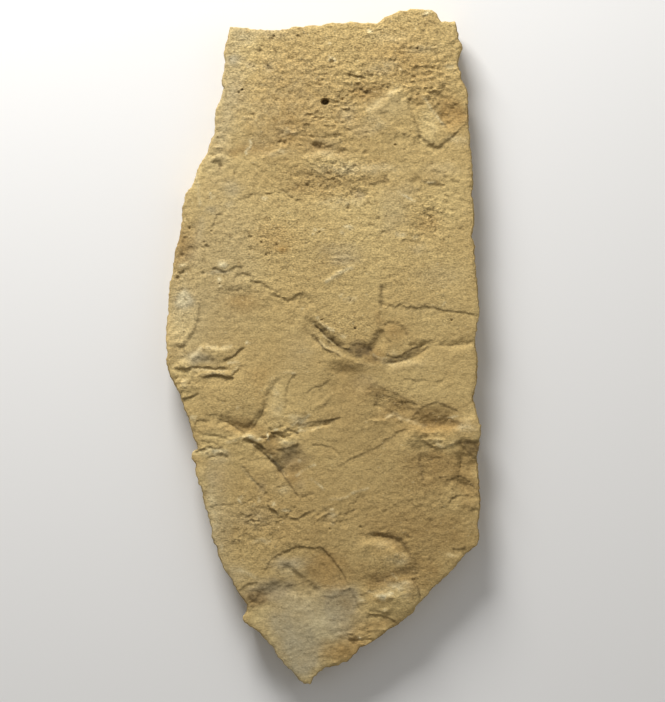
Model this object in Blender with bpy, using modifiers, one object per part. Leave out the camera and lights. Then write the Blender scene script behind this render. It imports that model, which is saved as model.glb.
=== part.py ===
"""A thin broken slab of ochre siltstone with bird tracks pressed into its upper face.

The slab is one natural piece, so it is one solid. It lies on its flat back with the track face
up: +Z up, +Y along its length towards the wide end, +X across it. The origin is at the middle of
its bounding box, on the surface that it lies on.
"""

import bpy
import bmesh
import numpy as np
from mathutils import Vector, noise

# Driving dimensions, in millimetres.
MM = 0.001
THICKNESS = 12.0
VOXEL = 1.15
TRIANGLE_TARGET = 9400

SLAB_NAME = "track_slab"
COLLECTION_NAME = "fossil_bird_footprint"

STONE_COLOUR = (0.45, 0.34, 0.17, 1.0)
STONE_ROUGHNESS = 0.88

# The broken outline, in millimetres from the middle of the slab, seen from above the tracks.
TOP_EDGE = (
    (-32, 109), (-28.5, 109.1), (-24.5, 108.3), (-15, 108), (-9.5, 109.3), (-1, 109.6),
    (3, 110.5), (9.5, 111), (13.5, 110.2), (18.5, 110.9), (22.5, 113), (26.5, 115),
    (30, 115.2), (37, 114.9), (39.3, 112), (40.3, 110.8), (45, 110.9),
)
RIGHT_EDGE = (
    (46.2, 106), (46, 105), (47.5, 103), (47.6, 101.5), (46.2, 98.2), (46.3, 96), (48.2, 90),
    (49.5, 85.5), (49.3, 82), (49.8, 73), (50.9, 62), (51.2, 50), (51.6, 43), (51.2, 37),
    (52.4, 30.5), (51.9, 28), (52.6, 22), (53.3, 12), (53, 5.8), (51.8, 3), (51.8, 0.8),
    (52.7, -4), (52.5, -10.7), (51.2, -17.7), (52.3, -22.5), (53.8, -27), (53.8, -29.6),
    (53.3, -31.4), (53.4, -35), (52.5, -38.8), (53.1, -45.5), (53.7, -54.5), (53.1, -62),
    (52.8, -67.2),
)
LOWER_EDGE = (
    (50.1, -69.7), (48.4, -70.7), (45.5, -74.7), (40, -80.2), (31.6, -89), (30.7, -90.7),
    (24.8, -95.4), (16.8, -100.8), (14.9, -102.5), (13, -102.8), (8.2, -107.6), (5.1, -108.8),
    (0.1, -109.7), (-3.3, -113.4), (-4.5, -115.2), (-7.1, -115.2), (-8.5, -113.7),
    (-13.4, -108.4), (-14.9, -106.3), (-15.9, -105.7), (-17.2, -102.5), (-23.9, -96.4),
    (-27.8, -92.8), (-26.4, -90.3), (-26, -88.2), (-29.2, -84.4), (-30, -82.3), (-34, -76),
)
LEFT_EDGE = (
    (-36.3, -70.9), (-38.3, -64.6), (-38.2, -62.1), (-39.9, -56.6), (-42.5, -47.7),
    (-43.8, -42.5), (-43.8, -40.1), (-45.2, -36.8), (-44.5, -35.5), (-43, -35), (-43.8, -32.5),
    (-45.1, -28.8), (-46.2, -24.4), (-48, -19.9), (-49.1, -16.2), (-52.5, -10), (-53.8, -6),
    (-53.8, 6), (-53, 15.5), (-52.8, 21.5), (-51.7, 27), (-51.2, 31), (-48.9, 38.5),
    (-48.6, 46), (-47.2, 52), (-43.8, 57.5), (-43.2, 60.5), (-39.9, 65.8), (-37.9, 72.5),
    (-36.9, 80.6), (-35, 85.1), (-34.7, 91.9), (-34, 94), (-34.2, 100.2), (-32.3, 108.2),
)

# Toe grooves and long creases: path, half width, depth.
GROOVES = (
    (((-3, 7.2), (0, 4.8), (3, 2), (6.5, -0.6), (9, -1)), 1.3, 0.7),
    (((22, -3.6), (25, -4), (28.5, -2.4), (33, -0.4)), 1.2, 0.5),
    (((-25.5, -32.2), (-21, -35.8), (-17, -39.8), (-12.4, -45.6), (-8, -51.5)), 1.2, 0.5),
    (((-8, -27.4), (-3, -26), (4, -24.6)), 1.1, 0.5),
    (((31, 71), (38.5, 67.8), (42, 70), (49.5, 77)), 1.1, 0.5),
)

# Steps between bedding layers, walked so that the lower ground is on the right hand: path of the
# middle of the step, drop, reach of the low ground, width of the slope.
STEPS = (
    (((-6, 10.6), (-1.2, 6.9), (3.8, 2.7), (9, 0.7), (15.6, 1.8)), 0.9, 3.0, 1.8),
    (((-2.3, 2.8), (0.8, -0.3), (5, -2), (14.4, -6.2)), -0.5, 2.4, 1.2),
    (((13.4, -1.4), (15.8, 1.4), (17.8, 4.4), (20.8, 6.6)), 1.2, 2.4, 2.3),
    (((0, -5.4), (8, -6.7), (14, -8.8), (18, -10.8)), 1.1, 9.0, 5.0),
    (((19.6, -5), (25, -4.8), (31, -2.2), (37, 0.4)), 0.6, 2.5, 1.6),
    (((39, 1.4), (46, 2.1), (52.5, 3)), 0.5, 3.0, 2.6),
    (((17, 12.6), (26, 14), (36.5, 13.7), (44, 12.1), (54, 10.2)), 0.4, 9.0, 1.2),
    (((-38.6, 26.3), (-30.5, 26), (-20.5, 21.5), (-12.3, 15.6), (-7.2, 18.3), (-3, 14.6)),
     0.5, 4.0, 1.2),
    (((-21.2, -22.6), (-19.2, -16.2), (-13.8, -9.8)), 0.7, 2.6, 1.6),
    (((-35, -22.4), (-28.6, -26), (-25, -26.8), (-21, -21.4)), 1.0, 3.0, 3.0),
    (((-28, -30.4), (-25, -29.2), (-20, -32.4)), -0.55, 2.0, 1.2),
    (((-16.6, -45.6), (-13.8, -41), (-11, -37.8), (-6.6, -34)), 1.6, 5.0, 6.0),
    (((-51, -6.8), (-43, -1.8), (-38.4, -0.3), (-29.6, 0.2)), -0.8, 7.0, 1.3),
    (((-51.6, -7), (-44.5, -7), (-31, -7)), 0.6, 2.4, 1.2),
    (((-42, -10.5), (-36, -10), (-29.4, -10.4)), 0.8, 4.0, 1.2),
    (((-54.4, 0.2), (-48.4, 0.1), (-43.9, 5.2), (-42.3, 16.4)), 0.5, 2.4, 1.2),
    (((-44.4, -35.8), (-39.5, -34.2), (-33.6, -34.2)), 0.5, 2.0, 1.2),
    (((28.6, -25.4), (34, -22.4), (38, -21.6), (42, -22.4), (48, -27.4)), 1.6, 3.0, 6.4),
    (((29.6, -25), (35, -27.5), (41, -26.1), (48, -26.8)), -1.0, 6.0, 1.2),
    (((14.6, -15.6), (18, -16), (26, -19.4), (32, -22.6)), 1.0, 4.0, 4.6),
    (((29.6, -25.8), (37.4, -29.8), (41, -32)), -0.4, 5.0, 1.3),
    (((42.6, -33.2), (47, -31.3), (54.6, -31)), 1.2, 4.0, 1.8),
    (((44, -45), (50, -47), (53.6, -50)), 0.8, 4.0, 2.8),
    (((-11.7, -68.9), (-5, -68.4), (0.7, -69.5), (4.5, -74), (8.7, -81.3), (12.6, -90)),
     0.75, 6.0, 1.2),
    (((14, -63.4), (22, -64.3), (27, -66.5), (29, -71.4)), 0.75, 1.6, 1.2),
    (((12.4, 79.4), (20, 85), (27.6, 89.2)), -0.75, 4.0, 2.2),
    (((33.6, 84.6), (39, 77), (43, 73)), -0.7, 4.6, 1.5),
)

# Broad rises and hollows: centre, radii, height.
MOUNDS = (
    ((12.4, -0.8), (2.5, 2.0), -0.9), ((24, 3.4), (4, 4), 0.35), ((-30, -15), (11, 9), 1.0),
    ((-16, -17), (2.6, 6.4), 0.3), ((-26, -27.2), (4.6, 1.6), -0.3), ((47, -27.4), (6, 4.4), 0.7),
    ((49.6, -47), (3.4, 2.2), -0.9), ((26, -6), (10, 1.8), 0.25), ((4, 57.5), (11.5, 6), -0.9),
    ((36, 42), (6, 5), -0.5), ((19.4, -70), (7.4, 5.6), 1.5), ((17, -78.6), (6, 2.4), -0.5),
    ((26.6, -84.6), (5.4, 4.6), 1.5), ((43.6, 80), (5, 6.4), -0.6), ((-1, 67.8), (3.2, 1.8), -0.6),
    ((36, 105), (9, 6), 0.4), ((-28, 98), (6, 8), -0.4), ((8, 81), (4, 4.4), -0.4),
)

# The sloping broken strip along the left side: where it is widest, its reach and its fall.
LEFT_SLOPE_MIDDLE = 22.0
LEFT_SLOPE_HALF_LENGTH = 46.0
LEFT_SLOPE_WIDTH = 8.5
LEFT_SLOPE_FALL = 3.6
LEFT_SLOPE_INNER_X = -30.0

# The round hole in the wide end.
HOLE_CENTRE = (0.6, 83.2)
HOLE_RADIUS = 1.3
HOLE_DEPTH = 2.6
HOLE_BEVEL = 0.6

# Edges and back.
RIM_WIDTH = 1.6
RIM_FALL = 0.9
LAYER_HEIGHT = 2.1
LAYER_INSET = 1.3
LAYER_PITCH = 16.0
LAYER_SEED_STEP = 7.3
WIDEST_HEIGHT = 8.0
UNDERCUT = 1.8
EDGE_BAND = 7.0
BACK_FLAKES = (
    (((-60, 52), (-31, 60), (-18, 88), (-22, 120), (-60, 120)), 1.1),
    (((60, -20), (34, -28), (26, -52), (36, -78), (60, -90)), 0.9),
    (((-30, -120), (-22, -92), (4, -86), (22, -104), (20, -125)), 1.3),
)
FLAKE_BEVEL = 0.8
FLAKE_WAVER = 7.0
FLAKE_WAVER_PITCH = 12.0
FLAT_BACK_LIMIT = 0.2
SWELL_HEIGHT = 0.45
SWELL_PITCH = 55.0

# Shares of the thickness over which the face's relief fades in and the back's fades out.
FACE_FADE = (0.3, 1.0)
BACK_FADE = (0.25, 0.0)

# How much of a groove's depth is left at its ends.
GROOVE_END_SHARE = 0.3


def clear_scene():
    for thing in list(bpy.data.objects):
        bpy.data.objects.remove(thing, do_unlink=True)


def make_collection(name):
    collection = bpy.data.collections.new(name)
    bpy.context.scene.collection.children.link(collection)
    return collection


def make_stone_material():
    material = bpy.data.materials.new("ochre_siltstone")
    material.use_nodes = True
    shader = material.node_tree.nodes["Principled BSDF"]
    shader.inputs["Base Color"].default_value = STONE_COLOUR
    shader.inputs["Roughness"].default_value = STONE_ROUGHNESS
    shader.inputs["Metallic"].default_value = 0.0
    return material


def smooth(low, high, value):
    t = np.clip((value - low) / (high - low), 0.0, 1.0)
    return t * t * (3.0 - 2.0 * t)


def along_path(spots, path):
    """Distance to a path, which side of it each spot is on, and how far along it, 0 to 1."""
    corners = np.array(path, dtype=float)
    lengths = np.linalg.norm(np.diff(corners, axis=0), axis=1)
    starts = np.concatenate([[0.0], np.cumsum(lengths)])
    best = np.full(len(spots), np.inf)
    side = np.ones(len(spots))
    progress = np.zeros(len(spots))
    for index, length in enumerate(lengths):
        direction = (corners[index + 1] - corners[index]) / length
        offset = spots - corners[index]
        reach = np.clip(offset @ direction, 0.0, length)
        gap = np.linalg.norm(offset - reach[:, None] * direction, axis=1)
        cross = direction[0] * offset[:, 1] - direction[1] * offset[:, 0]
        nearer = gap < best
        best[nearer] = gap[nearer]
        side[nearer] = np.sign(cross[nearer])
        progress[nearer] = (starts[index] + reach[nearer]) / starts[-1]
    return best, side, progress


def taper(progress):
    """Fade a line out over the first and last tenth of its length."""
    return smooth(0.0, 0.1, progress) * smooth(1.0, 0.9, progress)


def groove_relief(spots, path, half_width, depth):
    distance, _, progress = along_path(spots, path)
    fade = GROOVE_END_SHARE + (1.0 - GROOVE_END_SHARE) * taper(progress)
    return -depth * fade * np.exp(-(distance / half_width) ** 2)


def step_relief(spots, path, drop, reach, wall):
    distance, side, progress = along_path(spots, path)
    low_side = smooth(-wall / 2, wall / 2, -side * distance)
    beyond = np.clip(distance - wall / 2, 0.0, None)
    return -drop * taper(progress) * low_side * np.exp(-beyond / reach)


def mound_relief(spots, centre, radii, height):
    scaled = (spots - np.array(centre)) / np.array(radii)
    return height * np.exp(-(scaled ** 2).sum(axis=1))


def hole_relief(spots):
    distance = np.linalg.norm(spots - np.array(HOLE_CENTRE), axis=1)
    return -HOLE_DEPTH * smooth(HOLE_RADIUS + HOLE_BEVEL, HOLE_RADIUS - HOLE_BEVEL, distance)


def edge_frame(spots):
    """Distance in from the broken outline, and the smoothed direction out through it."""
    outline = np.array(TOP_EDGE + RIGHT_EDGE + LOWER_EDGE + LEFT_EDGE, dtype=float)
    inward = np.full(len(spots), np.inf)
    outward = np.zeros((len(spots), 2))
    for start, end in zip(outline, np.roll(outline, -1, axis=0)):
        length = np.linalg.norm(end - start)
        direction = (end - start) / length
        reach = np.clip((spots - start) @ direction, 0.0, length)
        gap = np.linalg.norm(spots - start - reach[:, None] * direction, axis=1)
        inward = np.minimum(inward, gap)
        nearness = length / (gap + 1.0) ** 4
        outward += nearness[:, None] * np.array((-direction[1], direction[0]))
    return inward, outward / np.linalg.norm(outward, axis=1)[:, None]


def left_slope(spots, inward):
    """The strip along the left side that breaks away downwards."""
    along = np.abs(spots[:, 1] - LEFT_SLOPE_MIDDLE) / LEFT_SLOPE_HALF_LENGTH
    strength = smooth(1.0, 0.45, along) * (spots[:, 0] < LEFT_SLOPE_INNER_X)
    return -LEFT_SLOPE_FALL * strength * smooth(LEFT_SLOPE_WIDTH, 0.0, inward)


def face_relief(spots, inward):
    """Height of the track face above its mean plane, in millimetres."""
    relief = np.array([noise.noise(Vector((x, y, 0.0)) / SWELL_PITCH) for x, y in spots])
    relief = relief * SWELL_HEIGHT
    for path, half_width, depth in GROOVES:
        relief += groove_relief(spots, path, half_width, depth)
    for path, drop, reach, wall in STEPS:
        relief += step_relief(spots, path, drop, reach, wall)
    for centre, radii, height in MOUNDS:
        relief += mound_relief(spots, centre, radii, height)
    relief += hole_relief(spots)
    relief += left_slope(spots, inward)
    relief -= RIM_FALL * smooth(RIM_WIDTH, 0.0, inward)
    return relief


def inside_polygon(spots, corners):
    inside = np.zeros(len(spots), dtype=bool)
    for (x0, y0), (x1, y1) in zip(corners, corners[1:] + corners[:1]):
        crosses = (y0 > spots[:, 1]) != (y1 > spots[:, 1])
        edge_x = x0 + (spots[:, 1] - y0) * (x1 - x0) / ((y1 - y0) or 1.0)
        inside ^= crosses & (spots[:, 0] < edge_x)
    return inside


def back_relief(spots):
    """How far thin flakes have come off the back, in millimetres."""
    depth = np.zeros(len(spots))
    waver = np.array([noise.noise(Vector((x, y, 5.0)) / FLAKE_WAVER_PITCH) for x, y in spots])
    for corners, flake in BACK_FLAKES:
        distance = along_path(spots, corners + corners[:1])[0]
        signed = np.where(inside_polygon(spots, corners), distance, -distance)
        signed += FLAKE_WAVER * waver
        depth = np.maximum(depth, flake * smooth(-FLAKE_BEVEL, FLAKE_BEVEL, signed))
    return depth


def side_inset(spots, heights):
    """How far each layer of the broken sides stands back from the outline."""
    layers = np.floor(heights / LAYER_HEIGHT)
    inset = np.empty(len(spots))
    for index, ((x, y), layer) in enumerate(zip(spots, layers)):
        place = Vector((x / LAYER_PITCH, y / LAYER_PITCH, LAYER_SEED_STEP * layer))
        broken = noise.noise(place)
        inset[index] = LAYER_INSET * (0.5 + broken)
    off_widest = smooth(0.0, LAYER_HEIGHT, np.abs(heights - WIDEST_HEIGHT))
    undercut = UNDERCUT * smooth(WIDEST_HEIGHT, 0.0, heights)
    return off_widest * np.clip(inset, 0.0, None) + undercut


def make_outline_mesh():
    """The flat plate: the outline as a filled curve, made a closed mesh."""
    curve = bpy.data.curves.new("slab_outline", "CURVE")
    curve.dimensions = "2D"
    curve.fill_mode = "BOTH"
    curve.extrude = THICKNESS / 2 * MM
    corners = TOP_EDGE + RIGHT_EDGE + LOWER_EDGE + LEFT_EDGE
    spline = curve.splines.new("POLY")
    spline.points.add(len(corners) - 1)
    for point, (x, y) in zip(spline.points, corners):
        point.co = (x * MM, y * MM, 0.0, 1.0)
    spline.use_cyclic_u = True
    outline = bpy.data.objects.new("slab_outline", curve)
    bpy.context.scene.collection.objects.link(outline)
    outline.location.z = THICKNESS / 2 * MM
    bpy.context.view_layer.update()
    depsgraph = bpy.context.evaluated_depsgraph_get()
    mesh = bpy.data.meshes.new_from_object(outline.evaluated_get(depsgraph))
    mesh.transform(outline.matrix_world)
    bpy.data.objects.remove(outline, do_unlink=True)
    shell = bmesh.new()
    shell.from_mesh(mesh)
    bmesh.ops.remove_doubles(shell, verts=shell.verts, dist=0.01 * MM)
    bmesh.ops.recalc_face_normals(shell, faces=shell.faces)
    shell.to_mesh(mesh)
    shell.free()
    return mesh


def apply_modifiers(slab):
    """Give the object the mesh that its modifiers make, and drop them."""
    bpy.context.view_layer.update()
    depsgraph = bpy.context.evaluated_depsgraph_get()
    mesh = bpy.data.meshes.new_from_object(slab.evaluated_get(depsgraph))
    slab.modifiers.clear()
    slab.data = mesh


def break_up(mesh):
    """Carve the track face, the layered sides and the flaked back into an even mesh."""
    places = np.empty(len(mesh.vertices) * 3)
    mesh.vertices.foreach_get("co", places)
    places = places.reshape(-1, 3) / MM
    spots = places[:, :2].copy()
    heights = places[:, 2].copy()
    inward, outward = edge_frame(spots)

    upper = smooth(*FACE_FADE, heights / THICKNESS)
    lower = smooth(*BACK_FADE, heights / THICKNESS)
    flaked = back_relief(spots)
    places[:, 2] += upper * face_relief(spots, inward) + lower * flaked
    places[(heights < FLAT_BACK_LIMIT) & (flaked < FLAT_BACK_LIMIT / 10), 2] = 0.0

    inset = side_inset(spots, heights) * smooth(EDGE_BAND, 0.0, inward)
    places[:, :2] -= outward * inset[:, None]
    mesh.vertices.foreach_set("co", (places * MM).ravel())
    mesh.update()


def set_on_origin(mesh):
    """Put the middle of the bounding box over the origin and its underside at height 0."""
    places = np.empty(len(mesh.vertices) * 3)
    mesh.vertices.foreach_get("co", places)
    places = places.reshape(-1, 3)
    low = places.min(axis=0)
    high = places.max(axis=0)
    places -= ((low[0] + high[0]) / 2, (low[1] + high[1]) / 2, low[2])
    mesh.vertices.foreach_set("co", places.ravel())
    mesh.update()


def make_slab(collection):
    slab = bpy.data.objects.new(SLAB_NAME, make_outline_mesh())
    collection.objects.link(slab)
    remesh = slab.modifiers.new("even_grid", "REMESH")
    remesh.mode = "VOXEL"
    remesh.voxel_size = VOXEL * MM
    apply_modifiers(slab)
    break_up(slab.data)

    slab.data.calc_loop_triangles()
    decimate = slab.modifiers.new("thin_out", "DECIMATE")
    decimate.ratio = TRIANGLE_TARGET / len(slab.data.loop_triangles)
    apply_modifiers(slab)
    set_on_origin(slab.data)
    slab.data.materials.clear()
    slab.data.materials.append(make_stone_material())
    slab.data.name = SLAB_NAME
    return slab


def main():
    clear_scene()
    make_slab(make_collection(COLLECTION_NAME))


main()
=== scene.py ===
"""A thin broken slab of ochre siltstone with bird tracks pressed into its face.

The slab is one natural stone, so it is one mesh: a track face, layered broken sides and a flat
flaked back. Places on it are in millimetres from the middle of the slab, seen from above the
tracks: x across it, y along it towards its wide end, z up out of the face.
"""

import math

import bpy
import numpy as np
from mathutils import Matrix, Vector
from mathutils.geometry import delaunay_2d_cdt


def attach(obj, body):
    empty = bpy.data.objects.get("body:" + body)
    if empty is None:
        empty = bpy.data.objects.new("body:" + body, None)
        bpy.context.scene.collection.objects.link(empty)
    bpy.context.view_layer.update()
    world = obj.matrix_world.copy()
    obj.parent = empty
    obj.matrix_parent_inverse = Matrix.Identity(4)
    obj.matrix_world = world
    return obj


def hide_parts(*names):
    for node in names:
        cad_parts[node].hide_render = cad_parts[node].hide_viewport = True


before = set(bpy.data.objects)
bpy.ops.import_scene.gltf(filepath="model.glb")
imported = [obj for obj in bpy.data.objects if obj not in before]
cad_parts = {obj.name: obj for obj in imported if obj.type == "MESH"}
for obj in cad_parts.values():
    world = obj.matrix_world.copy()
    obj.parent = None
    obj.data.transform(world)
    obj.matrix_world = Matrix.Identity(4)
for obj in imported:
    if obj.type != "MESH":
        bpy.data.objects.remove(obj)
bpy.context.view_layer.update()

bl_info = {
    "name": "Fossil Bird Footprint",
    "version": (1, 0, 0),
    "blender": (4, 5, 0),
    "location": "View3D > Sidebar > Footprint",
    "description": "Builds a siltstone slab with fossil bird tracks and lights it for a picture",
    "category": "Add Mesh",
}

CAD_NODE = "track_slab"
MM = 0.001
SHARP_ANGLE = math.radians(40)

# The stage, in metres: sizes and places of the lights, the middle of the view.
KEY_SIZE = 0.30
KEY_PLACE = (-0.19, 0.60, 0.32)
FILL_SIZE = 0.9
FILL_PLACE = (0.70, 0.35, 0.6)
LIGHT_TARGET = (0, 0, 0.01)
SKY_COLOUR = (1.0, 0.985, 0.96, 1.0)
VIEW_MIDDLE = (0.00306, -0.00153)

# The broken outline, clockwise from the left of the wide end.
TOP_EDGE = (
    (-32, 109), (-28.5, 109.1), (-26, 108.9), (-24.5, 108.3), (-15, 108), (-12, 108.5),
    (-9.5, 109.3), (-1, 109.6), (3, 110.5), (6.5, 110.2), (9.5, 111), (11, 111), (13.5, 110.2),
    (16, 110.9), (18.5, 110.9), (20, 112), (22.5, 113), (26.5, 115), (30, 115.2), (37, 114.9),
    (38.8, 113.6), (39.3, 112), (40.3, 110.8), (45, 110.9), (45.7, 109),
)
RIGHT_EDGE = (
    (46.2, 106), (46, 105), (47.5, 103), (47.6, 101.5), (46.2, 98.2), (46.3, 96), (48.2, 90),
    (49.5, 85.5), (49.3, 82), (49.8, 73), (50.9, 62), (51.2, 50), (51.6, 43), (51.2, 37),
    (52.4, 30.5), (51.9, 28), (52.6, 22), (53.3, 12), (53, 9), (52.6, 8), (53, 5.8), (51.8, 3),
    (51.8, 0.8), (52.7, -4), (52.5, -10.7), (51.2, -17.7), (52.3, -22.5), (53.8, -27),
    (53.8, -29.6), (53.3, -31.4), (53.4, -35), (52.5, -38.8), (53.1, -45.5), (53.7, -54.5),
    (53.1, -62), (53.2, -65), (52.8, -67.2),
)
LOWER_EDGE = (
    (50.1, -69.7), (48.4, -70.7), (45.5, -74.7), (42.1, -78.1), (40, -80.2), (33.7, -86.5),
    (31.6, -89), (30.7, -90.7), (27.8, -92.8), (24.8, -95.4), (20, -98.5), (16.8, -100.8),
    (14.9, -102.5), (13, -102.8), (10.1, -105.7), (8.2, -107.6), (6.7, -107.8), (5.1, -108.8),
    (0.1, -109.7), (-1.2, -111.6), (-3.3, -113.4), (-4.5, -115.2), (-7.1, -115.2),
    (-8.5, -113.7), (-10.6, -110.9), (-13.4, -108.4), (-14.9, -106.3), (-15.9, -105.7),
    (-17.2, -102.5), (-19.9, -100), (-23.9, -96.4), (-27.1, -94.1), (-27.8, -92.8),
    (-27.3, -91.4), (-26.4, -90.3), (-26, -88.2), (-27.3, -86.3), (-29.2, -84.4), (-30, -82.3),
    (-32.5, -78.5), (-34, -76),
)
LEFT_EDGE = (
    (-36.3, -70.9), (-38.3, -64.6), (-38.2, -62.1), (-39.9, -56.6), (-42.5, -47.7),
    (-43.8, -42.5), (-43.8, -40.1), (-45, -38.4), (-45.2, -36.8), (-44.5, -35.5), (-43, -35),
    (-43.8, -32.5), (-45.1, -28.8), (-46.2, -24.4), (-48, -19.9), (-49.1, -16.2),
    (-52.5, -10), (-53.8, -6), (-53.8, 6), (-53.2, 12), (-53, 15.5), (-52.8, 21.5),
    (-51.7, 27), (-51.2, 31), (-48.9, 38.5), (-48.6, 46), (-47.2, 52), (-45, 55),
    (-43.8, 57.5), (-43.2, 60.5), (-41, 64), (-39.9, 65.8), (-37.9, 72.5), (-37.2, 77.7),
    (-36.9, 80.6), (-35, 85.1), (-34.7, 91.9), (-34, 94), (-34.2, 100.2), (-32.9, 105.2),
)
OUTLINE = np.array(TOP_EDGE + RIGHT_EDGE + LOWER_EDGE + LEFT_EDGE, dtype=float)

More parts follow.
